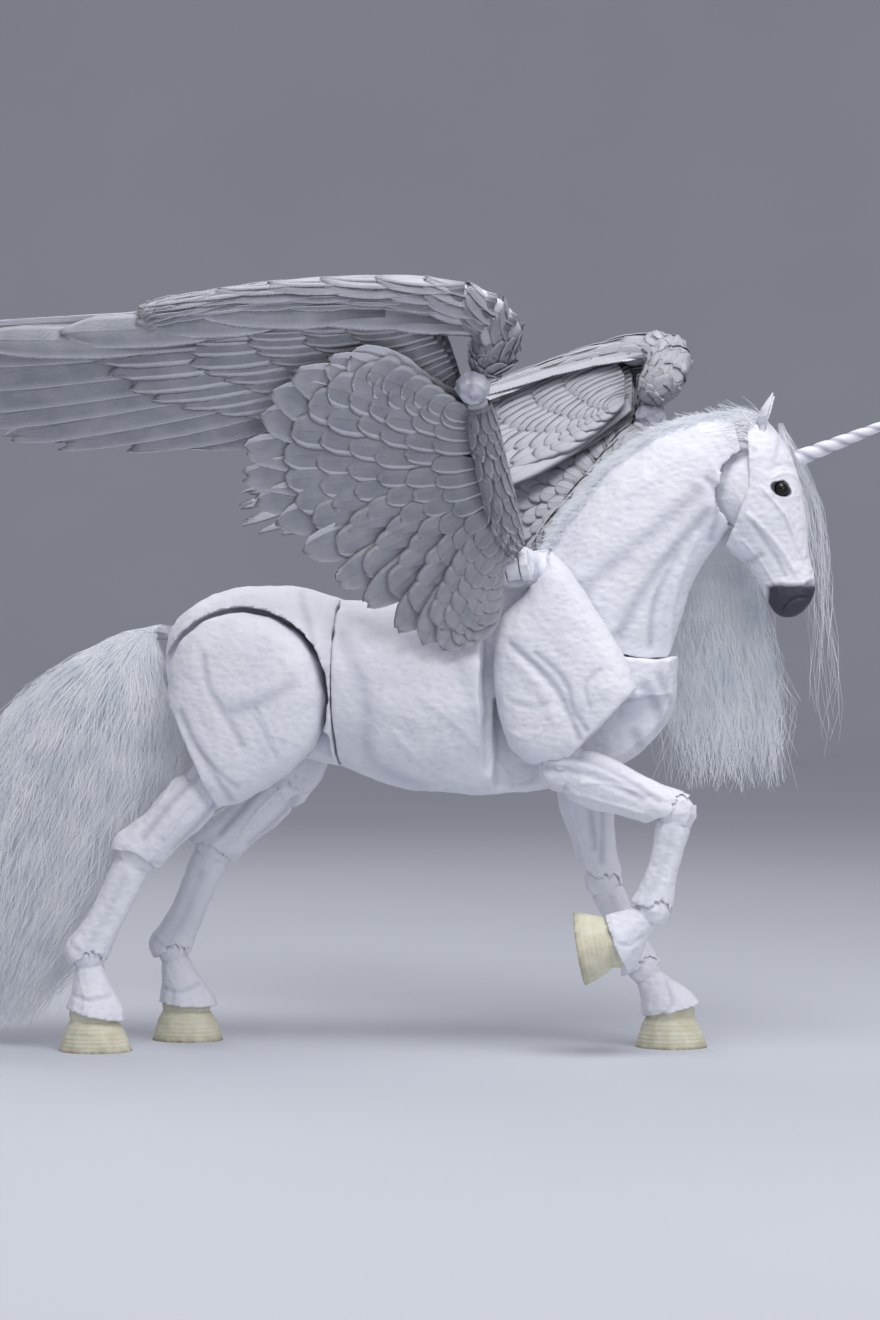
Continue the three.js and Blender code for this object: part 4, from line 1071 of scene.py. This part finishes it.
def lid_share(points):
    """How dark the lids are at each point: slanting ovals round the eyes."""
    low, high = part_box("right_eye")
    middle = (low + high) / 2
    offset = points[:, [0, 2]] - np.array([middle.x, middle.z])
    slanted = np.hypot(offset[:, 0] * 0.72, offset[:, 1] + offset[:, 0] * 0.25)
    return np.clip(1 - (slanted - (high.z - low.z) * 0.44) / (0.6 * MM), 0, 1)


# Hair.


def strands(name, body, paths, thickness):
    """Fine closed strands, each a tapering tube along its own path."""
    curve = bpy.data.curves.new(name, "CURVE")
    curve.dimensions = "3D"
    curve.bevel_depth = thickness
    curve.bevel_resolution = 0
    curve.resolution_u = 1
    curve.use_fill_caps = True
    for path in paths:
        spline = curve.splines.new("POLY")
        spline.points.add(len(path) - 1)
        count = len(path)
        flat = np.ones((count, 4))
        flat[:, :3] = path
        spline.points.foreach_set("co", flat.ravel())
        share = np.linspace(0, 1, count)
        spline.points.foreach_set("radius", 0.35 + 0.65 * np.sin(np.pi * (0.15 + 0.8 * share)))
    return new_object(name, curve, body, material("hair"))


def section_at(stations, t):
    """The centre and half sizes of a lock at a share of its length."""
    place = t * (len(stations) - 1)
    i = min(int(place), len(stations) - 2)
    return stations[i] + (stations[i + 1] - stations[i]) * (place - i)


def wisps(rng, count, points, stations, spread, curl, shortest):
    """Paths through a lock's sections: each keeps its place in them, wandering a little."""
    clumps = rng.uniform(-1, 1, (max(4, count // 26), 2))
    paths = []
    for _ in range(count):
        seat = clumps[rng.integers(len(clumps))] + rng.normal(0, 0.16, 2)
        reach = np.linalg.norm(seat)
        if reach > 1:
            seat /= reach
        last = rng.uniform(shortest, 1)
        phase, speed = rng.uniform(0, 6.28, 2), rng.uniform(3, 8, 2)
        path = []
        for i in range(points):
            t = last * i / (points - 1)
            x, y, z, half_x, half_y = section_at(stations, t)
            sway = curl * np.sin(phase + speed * t * 3) * t
            u, v = seat * (0.35 + 0.65 * min(1, t * 3)) * spread + sway
            rise = curl * 4 * MM * math.sin(phase[0] + t * 9)
            path.append((x + u * half_x, y + v * half_y, z + rise))
        paths.append(path)
    return paths


# Locks as stations from the photo's origin in millimetres: x, y, z and the half sizes along x and y.
TAIL_STATIONS = [
    (-80, 0, 117.4, 3, 3.4), (-86, 0, 115.6, 7, 7), (-93, 0, 107, 14, 11), (-100, 0, 92, 22, 13.4),
    (-107, 0, 70, 25, 14.6), (-115.5, 0, 46, 24.6, 14), (-125, 0, 22, 19, 11.6), (-131, 0, 4.4, 12, 7),
]
MANE_STATIONS = [
    (66, 8.6, 166, 8, 1.6), (67, 12, 158, 9, 2.4), (70, 14.4, 146, 10, 3.4), (75, 16.2, 130, 12, 3.8),
    (77.4, 17, 112, 14, 4), (79, 17, 94, 16, 4), (80, 16.6, 72, 15, 3.4),
]
FORELOCK_STATIONS = [
    (94.5, 3, 172, 2, 3), (98, 5, 163, 2.6, 2.6), (101.5, 6.4, 152, 3, 2), (103.4, 6.6, 138, 3, 2),
    (105, 6.8, 122, 3, 2), (106, 7, 100, 3, 2), (106.5, 7.2, 84, 2.6, 1.6),
]
# Layers of a lock, from its heart outwards: spread, curl, shortest share of its length, strand radius.
TAIL_LAYERS = [
    (0.86, 0.08, 0.55, 0.13), (1.0, 0.14, 0.55, 0.115), (1.1, 0.22, 0.55, 0.095),
    (1.22, 0.34, 0.55, 0.065),
]
MANE_LAYERS = [(0.92, 0.16, 0.5, 0.085), (1.15, 0.34, 0.3, 0.065)]
FORELOCK_LAYERS = [(1.5, 0.7, 0.2, 0.05)]


def ridge_share(points, up, along, step, depth):
    """How near each vertex is to the top of its own slice of a skin, from 0 to 1."""
    height = points @ np.array(up)
    slices = ((points @ np.array(along)) / step).astype(int)
    slices -= slices.min()
    top = np.full(slices.max() + 1, -FAR)
    np.maximum.at(top, slices, height)
    return np.clip(1 - (top[slices] - height) / depth, 0, 1)


def tufts(rng, mesh, weights, count, lengths, rise, lean):
    """Paths of short strands rooted over a skin by weight: they rise, then lean over."""
    points, out = coordinates(mesh), normals(mesh)
    paths = []
    for seat in rng.choice(len(points), count, p=weights / weights.sum()):
        fall = np.array(lean) + rng.normal(0, 0.28, 3)
        reach = rng.uniform(*lengths) * MM
        root = points[seat] - out[seat] * 0.3 * MM
        steps = np.linspace(0, 1, 4)[:, None]
        first = np.array(rise) * 0.6 + out[seat] * 0.4
        paths.append(root + reach * (first * steps * (1 - 0.5 * steps) + fall * steps**2))
    return paths


def placed(stations):
    """Stations [x, y, z, half x, half y] from the photo's origin in millimetres, in the frame."""
    rows = np.array(stations, float) * MM
    rows[:, 0] += ORIGIN.x
    rows[:, 1] += ORIGIN.y
    return rows


# Settings.


def colour_property(name, description, default):
    return bpy.props.FloatVectorProperty(
        name=name, description=description, default=default, subtype="COLOR", size=3, min=0, max=1
    )


class UnicornFinish(bpy.types.PropertyGroup):
    """Colours of the figure."""

    coat: colour_property("Coat", "Lit paint of the body", (0.80, 0.81, 0.86))
    coat_shade: colour_property("Coat shade", "Cooler patches of the body paint", (0.74, 0.75, 0.82))
    # painted shade in folds, seams, wrinkles, the horn's groove and at feather roots; also the pegs'
    # darker mottle
    shade_and_mottle: colour_property("Crease", "Painted shade left in folds and seams", (0.30, 0.31, 0.40))
    muzzle: colour_property("Muzzle", "Slate paint of the muzzle and eyelids", (0.04, 0.046, 0.065))
    # painted shade: the grey of wing faces that turn outwards, with darker patches
    feather: colour_property("Feather", "Grey paint under the wings", (0.52, 0.53, 0.58))
    feather_shade: colour_property("Feather shade", "Darker grey under the wings", (0.37, 0.39, 0.44))
    # painted shade between the feathers, at their roots
    feather_root_shade: colour_property("Feather root", "Painted shade between the feathers", (0.08, 0.09, 0.12))
    # painted highlight on the feather rims
    feather_rim_highlight: colour_property("Feather rim", "Painted highlight on the bright rims of the feathers", (0.70, 0.71, 0.77))
    hoof: colour_property("Hoof", "Cream of the hoofs", (0.74, 0.71, 0.57))
    hoof_shade: colour_property("Hoof shade", "Darker rings of the hoofs", (0.60, 0.56, 0.42))
    # the colour the hoofs darken to in patches towards their ground edge
    hoof_lower_edge: colour_property("Hoof edge", "Darkening at the ground edge", (0.26, 0.23, 0.15))
    horn: colour_property("Horn", "Paint of the spiral horn", (0.84, 0.83, 0.88))
    hair: colour_property("Hair", "Light strands", (0.88, 0.89, 0.92))
    hair_shade: colour_property("Hair shade", "Shaded strands", (0.70, 0.73, 0.80))
    eye: colour_property("Eye", "The eye's glossy black", (0.006, 0.005, 0.005))
    iris: colour_property("Iris", "Faint brown in the eye", (0.012, 0.009, 0.008))
    peg: colour_property("Pegs", "Pins, pegs and balls", (0.62, 0.62, 0.68))


class UnicornStudio(bpy.types.PropertyGroup):
    """Camera, floor and light."""

    distance: bpy.props.FloatProperty(
        name="Camera distance", description="From the figure's middle", default=0.95, unit="LENGTH"
    )
    turn: bpy.props.FloatProperty(
        name="Camera turn", description="Round towards the head", default=math.radians(7), subtype="ANGLE"
    )
    height: bpy.props.FloatProperty(
        name="Camera height", description="Above the floor", default=0.109, unit="LENGTH"
    )
    lens: bpy.props.FloatProperty(name="Lens", description="Focal length in millimetres", default=92.5)
    floor: colour_property("Floor", "Pale floor and backdrop", (0.60, 0.62, 0.68))
    sky_colour: colour_property("Sky colour", "Tint of the even light", (0.86, 0.88, 0.95))
    key_power: bpy.props.FloatProperty(name="Key", description="Power of the top light", default=4.4)
    fill_power: bpy.props.FloatProperty(name="Fill", description="Power of the front light", default=1.7)
    sky: bpy.props.FloatProperty(name="Sky", description="Strength of the even light", default=0.4)


# Operators.


LAMP_AIM = Vector((0, 0, 0.1))  # about the figure's middle


class UNICORN_OT_studio(bpy.types.Operator):
    """Sets up the camera at the photo's view, the floor and the soft lights"""

    bl_idname = "unicorn.studio"
    bl_label = "Studio"

    def execute(self, context):
        studio = context.scene.unicorn_studio
        turn = studio.turn
        data = bpy.data.cameras.new("camera")
        data.lens = studio.lens
        data.sensor_width = 36
        data.clip_start = 0.01
        camera = bpy.data.objects.new("camera", data)
        away = Vector((math.sin(turn), -math.cos(turn), 0)) * studio.distance
        camera.location = Vector((ORIGIN.x, ORIGIN.y, studio.height)) + away
        camera.rotation_euler = (math.pi / 2, 0, turn)
        context.scene.collection.objects.link(camera)
        context.scene.camera = camera
        self.add_floor(context, studio)
        self.add_lamp(context, "key", (0.15, -0.35, 0.75), 0.55, studio.key_power)
        self.add_lamp(context, "fill", (0.75, -0.85, 0.35), 0.7, studio.fill_power)
        self.add_lamp(context, "back", (-0.4, 0.6, 0.7), 0.6, studio.key_power * 0.35)
        world = bpy.data.worlds.new("studio")
        world.use_nodes = True
        background = world.node_tree.nodes["Background"]
        background.inputs["Color"].default_value = (*studio.sky_colour, 1)
        background.inputs["Strength"].default_value = studio.sky
        context.scene.world = world
        context.scene.view_settings.view_transform = "Standard"
        return {"FINISHED"}

    def add_floor(self, context, studio):
        """A floor that bends up into a far wall."""
        bm = bmesh.new()
        base = bmesh.ops.create_grid(bm, x_segments=1, y_segments=1, size=2.5)
        bmesh.ops.translate(bm, verts=base["verts"], vec=(0, 1.3, 0))
        rear = [e for e in bm.edges if all(v.co.y > 3 for v in e.verts)]
        wall = bmesh.ops.extrude_edge_only(bm, edges=rear)
        risen = [v for v in wall["geom"] if isinstance(v, bmesh.types.BMVert)]
        bmesh.ops.translate(bm, verts=risen, vec=(0, 0.6, 3))
        bmesh.ops.bevel(
            bm, geom=rear, offset=1.2, offset_type="OFFSET", segments=16, profile=0.5,
            affect="EDGES", material=-1, clamp_overlap=True,
        )
        mesh = mesh_from(bm, "floor")
        smooth(mesh)
        n = Nodes("floor")
        tone = n.spread(n.noise(3, 2), 0.3, 0.7)
        n.finish(n.mix(tone, tuple(studio.floor), tuple(c * 0.96 for c in studio.floor)), 0.75)
        mesh.materials.append(n.material)
        floor = bpy.data.objects.new("floor", mesh)
        context.scene.collection.objects.link(floor)
        floor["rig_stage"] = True

    def add_lamp(self, context, name, place, size, power):
        """A soft round lamp that looks at the figure's middle."""
        data = bpy.data.lights.new(name, "AREA")
        data.shape = "DISK"
        data.size = size
        data.energy = power
        lamp = bpy.data.objects.new(name, data)
        lamp.location = place
        lamp.rotation_euler = (LAMP_AIM - lamp.location).to_track_quat("-Z", "Y").to_euler()
        context.scene.collection.objects.link(lamp)


class UNICORN_OT_trunk(bpy.types.Operator):
    """Sculpts the ribcage, rump and neck shells"""

    bl_idname = "unicorn.trunk"
    bl_label = "Trunk"

    def execute(self, context):
        for node, voxel, times, height in (
            ("ribcage", 0.8, 90, 0.5),
            ("rump", 0.62, 100, 0.45),
            ("neck", 0.7, 60, 0.35),
        ):
            mesh, fold = sculpt_trunk(node, voxel * MM, times, height * MM)
            finish_shell(node, mesh, fold)
        return {"FINISHED"}


class UNICORN_OT_head(bpy.types.Operator):
    """Sculpts the head, its ears and its eyes"""

    bl_idname = "unicorn.head"
    bl_label = "Head"

    def execute(self, context):
        mesh = moulded("head", 0.42 * MM, 34, keep=(0.4 * MM, 2 * MM))
        roughen(mesh, 5 * MM, 0.18 * MM)
        flat = coordinates(mesh)[:, [0, 2]]
        fold = carve(mesh, drawn("head"), flat, facing_side(mesh))
        roughen(mesh, 1.4 * MM, 0.06 * MM, 2.0)
        points = coordinates(mesh)
        dusk = np.maximum(muzzle_share(points), lid_share(points) * 0.85)
        finish_shell("head", mesh, fold, dusk)
        for side in SIDES:
            ear = moulded(f"{side}_ear", 0.3 * MM, 10, keep=(0.2 * MM, 1.2 * MM))
            finish_shell(f"{side}_ear", ear, np.zeros(len(ear.vertices)))
            self.add_eye(side)
        return {"FINISHED"}

    def add_eye(self, side):
        node = f"{side}_eye"
        low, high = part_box(node)
        bm = bmesh.new()
        bmesh.ops.create_uvsphere(bm, u_segments=32, v_segments=20, radius=(high.z - low.z) / 2)
        bmesh.ops.translate(bm, verts=bm.verts, vec=(low + high) / 2)
        mesh = mesh_from(bm, f"{node}_ball")
        smooth(mesh)
        piece = new_object(f"{node}_ball", mesh, body_of(node), material("eye"))
        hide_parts(node)


class UNICORN_OT_horn(bpy.types.Operator):
    """Winds the spiral horn"""

    bl_idname = "unicorn.horn"
    bl_label = "Horn"

    def execute(self, context):
        depth = []

        def wound(r, spot):
            """A point of ring r on the spiral, in the horn's own axes; notes how deep it lies."""
            along = r / HORN_RINGS
            turn = math.atan2(spot.y, spot.x)
            dip = abs(math.cos(turn - 2 * math.pi * HORN_TURNS * along)) ** 6
            depth.append(dip)
            size = (HORN_RADIUS + (HORN_TIP - HORN_RADIUS) * along) * (1 - HORN_GROOVE * dip)
            return Vector((math.cos(turn) * size, math.sin(turn) * size, HORN_LENGTH * along))

        bm = bmesh.new()
        ringed_skin(bm, HORN_RINGS + 1, 28, wound)
        stand = Matrix.Translation(HORN_SEAT) @ Matrix.Rotation(HORN_LEAN, 4, "Y")
        bmesh.ops.transform(bm, matrix=stand, verts=bm.verts)
        bmesh.ops.recalc_face_normals(bm, faces=bm.faces)
        mesh = mesh_from(bm, "horn_spiral")
        for face in mesh.polygons:
            face.use_smooth = len(face.vertices) == 4
        # fold: painted shade, deepest in the spiral groove
        add_tint(mesh, "fold", np.array(depth))
        piece = new_object("horn_spiral", mesh, body_of("horn"), material("horn"))
        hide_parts("horn")
        return {"FINISHED"}


class UNICORN_OT_legs(bpy.types.Operator):
    """Sculpts every leg shell and hoof"""

    bl_idname = "unicorn.legs"
    bl_label = "Legs"

    def execute(self, context):
        for side in SIDES:
            for end in CHAINS:
                for index in range(HOOF_INDEX):
                    sculpt_bone(side, end, index)
                sculpt_hoof(side, end)
        return {"FINISHED"}


class UNICORN_OT_wings(bpy.types.Operator):
    """Lays the feathers of both wings over their arms"""

    bl_idname = "unicorn.wings"
    bl_label = "Wings"

    def execute(self, context):
        for side in SIDES:
            for name, hand, rows, roots, tips in (
                ("inner_wing", False, INNER_ROWS, INNER_ROOTS, INNER_TIPS),
                ("outer_wing", True, OUTER_ROWS, OUTER_ROOTS, OUTER_TIPS),
            ):
                node = f"{side}_{name}"
                feathers = feather_object(f"{node}_feathers", side, node, hand, rows, roots, tips)
                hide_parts(node)
                line, deep = (HAND_LINE, OUTER_BACK) if hand else (ARM_LINE, 0)
                limb = wing_limb(f"{node}_limb", side, node, hand, line, deep)
                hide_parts(node)
        return {"FINISHED"}


class UNICORN_OT_hair(bpy.types.Operator):
    """Grows the mane, forelock and tail"""

    bl_idname = "unicorn.hair"
    bl_label = "Hair"

    def execute(self, context):
        rng = np.random.default_rng(SEED)
        for node, lock, count, points, stations, layers in (
            ("tail_hair", "tail", 1950, 8, TAIL_STATIONS, TAIL_LAYERS),
            ("mane", "mane", 1650, 9, MANE_STATIONS, MANE_LAYERS),
            ("forelock", "forelock", 110, 12, FORELOCK_STATIONS, FORELOCK_LAYERS),
        ):
            for i, (spread, curl, shortest, radius) in enumerate(layers):
                paths = wisps(rng, count, points, placed(stations), spread, curl, shortest)
                name = f"{lock}_strands_{i}" if len(layers) > 1 else f"{lock}_strands"
                piece = strands(name, body_of(node), paths, radius * MM)
                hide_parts(node)
        self.add_crest(rng)
        return {"FINISHED"}

    def add_crest(self, rng):
        """Fuzz along the top of the neck, and a tuft that falls back from behind the ears."""
        back, along = (-0.55, 0, 0.84), (0.84, 0, 0.55)  # square to the top line, and along it
        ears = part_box("right_ear")[1].x
        for name, body, depth, lengths, lean, count in (
            ("crest_strands", "neck", 2.6, (2, 4.6), (-0.5, -0.1, -0.4), 4900),
            ("poll_strands", "head", 3, (4, 7), (-1, 0, -0.2), 2000),
        ):
            mesh = bpy.data.meshes[f"{body}_shell"]
            points = coordinates(mesh)
            weights = ridge_share(points, back, along, 1.5 * MM, depth * MM)
            if body == "head":
                weights[(points[:, 0] > ears) | (points[:, 2] < points[:, 2].max() - 9 * MM)] = 0
            paths = tufts(rng, mesh, weights, count, lengths, back, lean)
            strands(name, body_of(body), paths, 0.06 * MM)


class UNICORN_OT_fittings(bpy.types.Operator):
    """Paints the pegs, pins, knuckles and balls that show in the seams"""

    bl_idname = "unicorn.fittings"
    bl_label = "Fittings"

    def execute(self, context):
        shown = {piece.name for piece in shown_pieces()}
        for node, piece in NODES.items():
            if node not in shown:
                continue
            if node.endswith(("root_peg", "knuckle")):
                mesh = moulded(node, 0.3 * MM, 8, keep=(0.2 * MM, 1 * MM))
                finish_shell(node, mesh, np.zeros(len(mesh.vertices)))
                continue
            for slot in piece.material_slots:
                slot.material = material("peg")
        return {"FINISHED"}


OPERATORS = (
    UNICORN_OT_studio,
    UNICORN_OT_trunk,
    UNICORN_OT_head,
    UNICORN_OT_horn,
    UNICORN_OT_legs,
    UNICORN_OT_wings,
    UNICORN_OT_hair,
    UNICORN_OT_fittings,
)


class UNICORN_PT_panel(bpy.types.Panel):
    """Lists the steps that build the figure"""

    bl_label = "Winged Unicorn"
    bl_idname = "UNICORN_PT_panel"
    bl_space_type = "VIEW_3D"
    bl_region_type = "UI"
    bl_category = "Unicorn"

    def draw(self, context):
        for operator in OPERATORS:
            self.layout.operator(operator.bl_idname)


CLASSES = (UnicornFinish, UnicornStudio, *OPERATORS, UNICORN_PT_panel)


def register():
    for cls in CLASSES:
        bpy.utils.register_class(cls)
    bpy.types.Scene.unicorn_finish = bpy.props.PointerProperty(type=UnicornFinish)
    bpy.types.Scene.unicorn_studio = bpy.props.PointerProperty(type=UnicornStudio)


def unregister():
    del bpy.types.Scene.unicorn_studio
    del bpy.types.Scene.unicorn_finish
    for cls in reversed(CLASSES):
        bpy.utils.unregister_class(cls)


def main():
    register()
    bpy.ops.unicorn.studio()
    bpy.ops.unicorn.trunk()
    bpy.ops.unicorn.head()
    bpy.ops.unicorn.horn()
    bpy.ops.unicorn.legs()
    bpy.ops.unicorn.wings()
    bpy.ops.unicorn.hair()
    bpy.ops.unicorn.fittings()


if __name__ == "__main__":
    main()
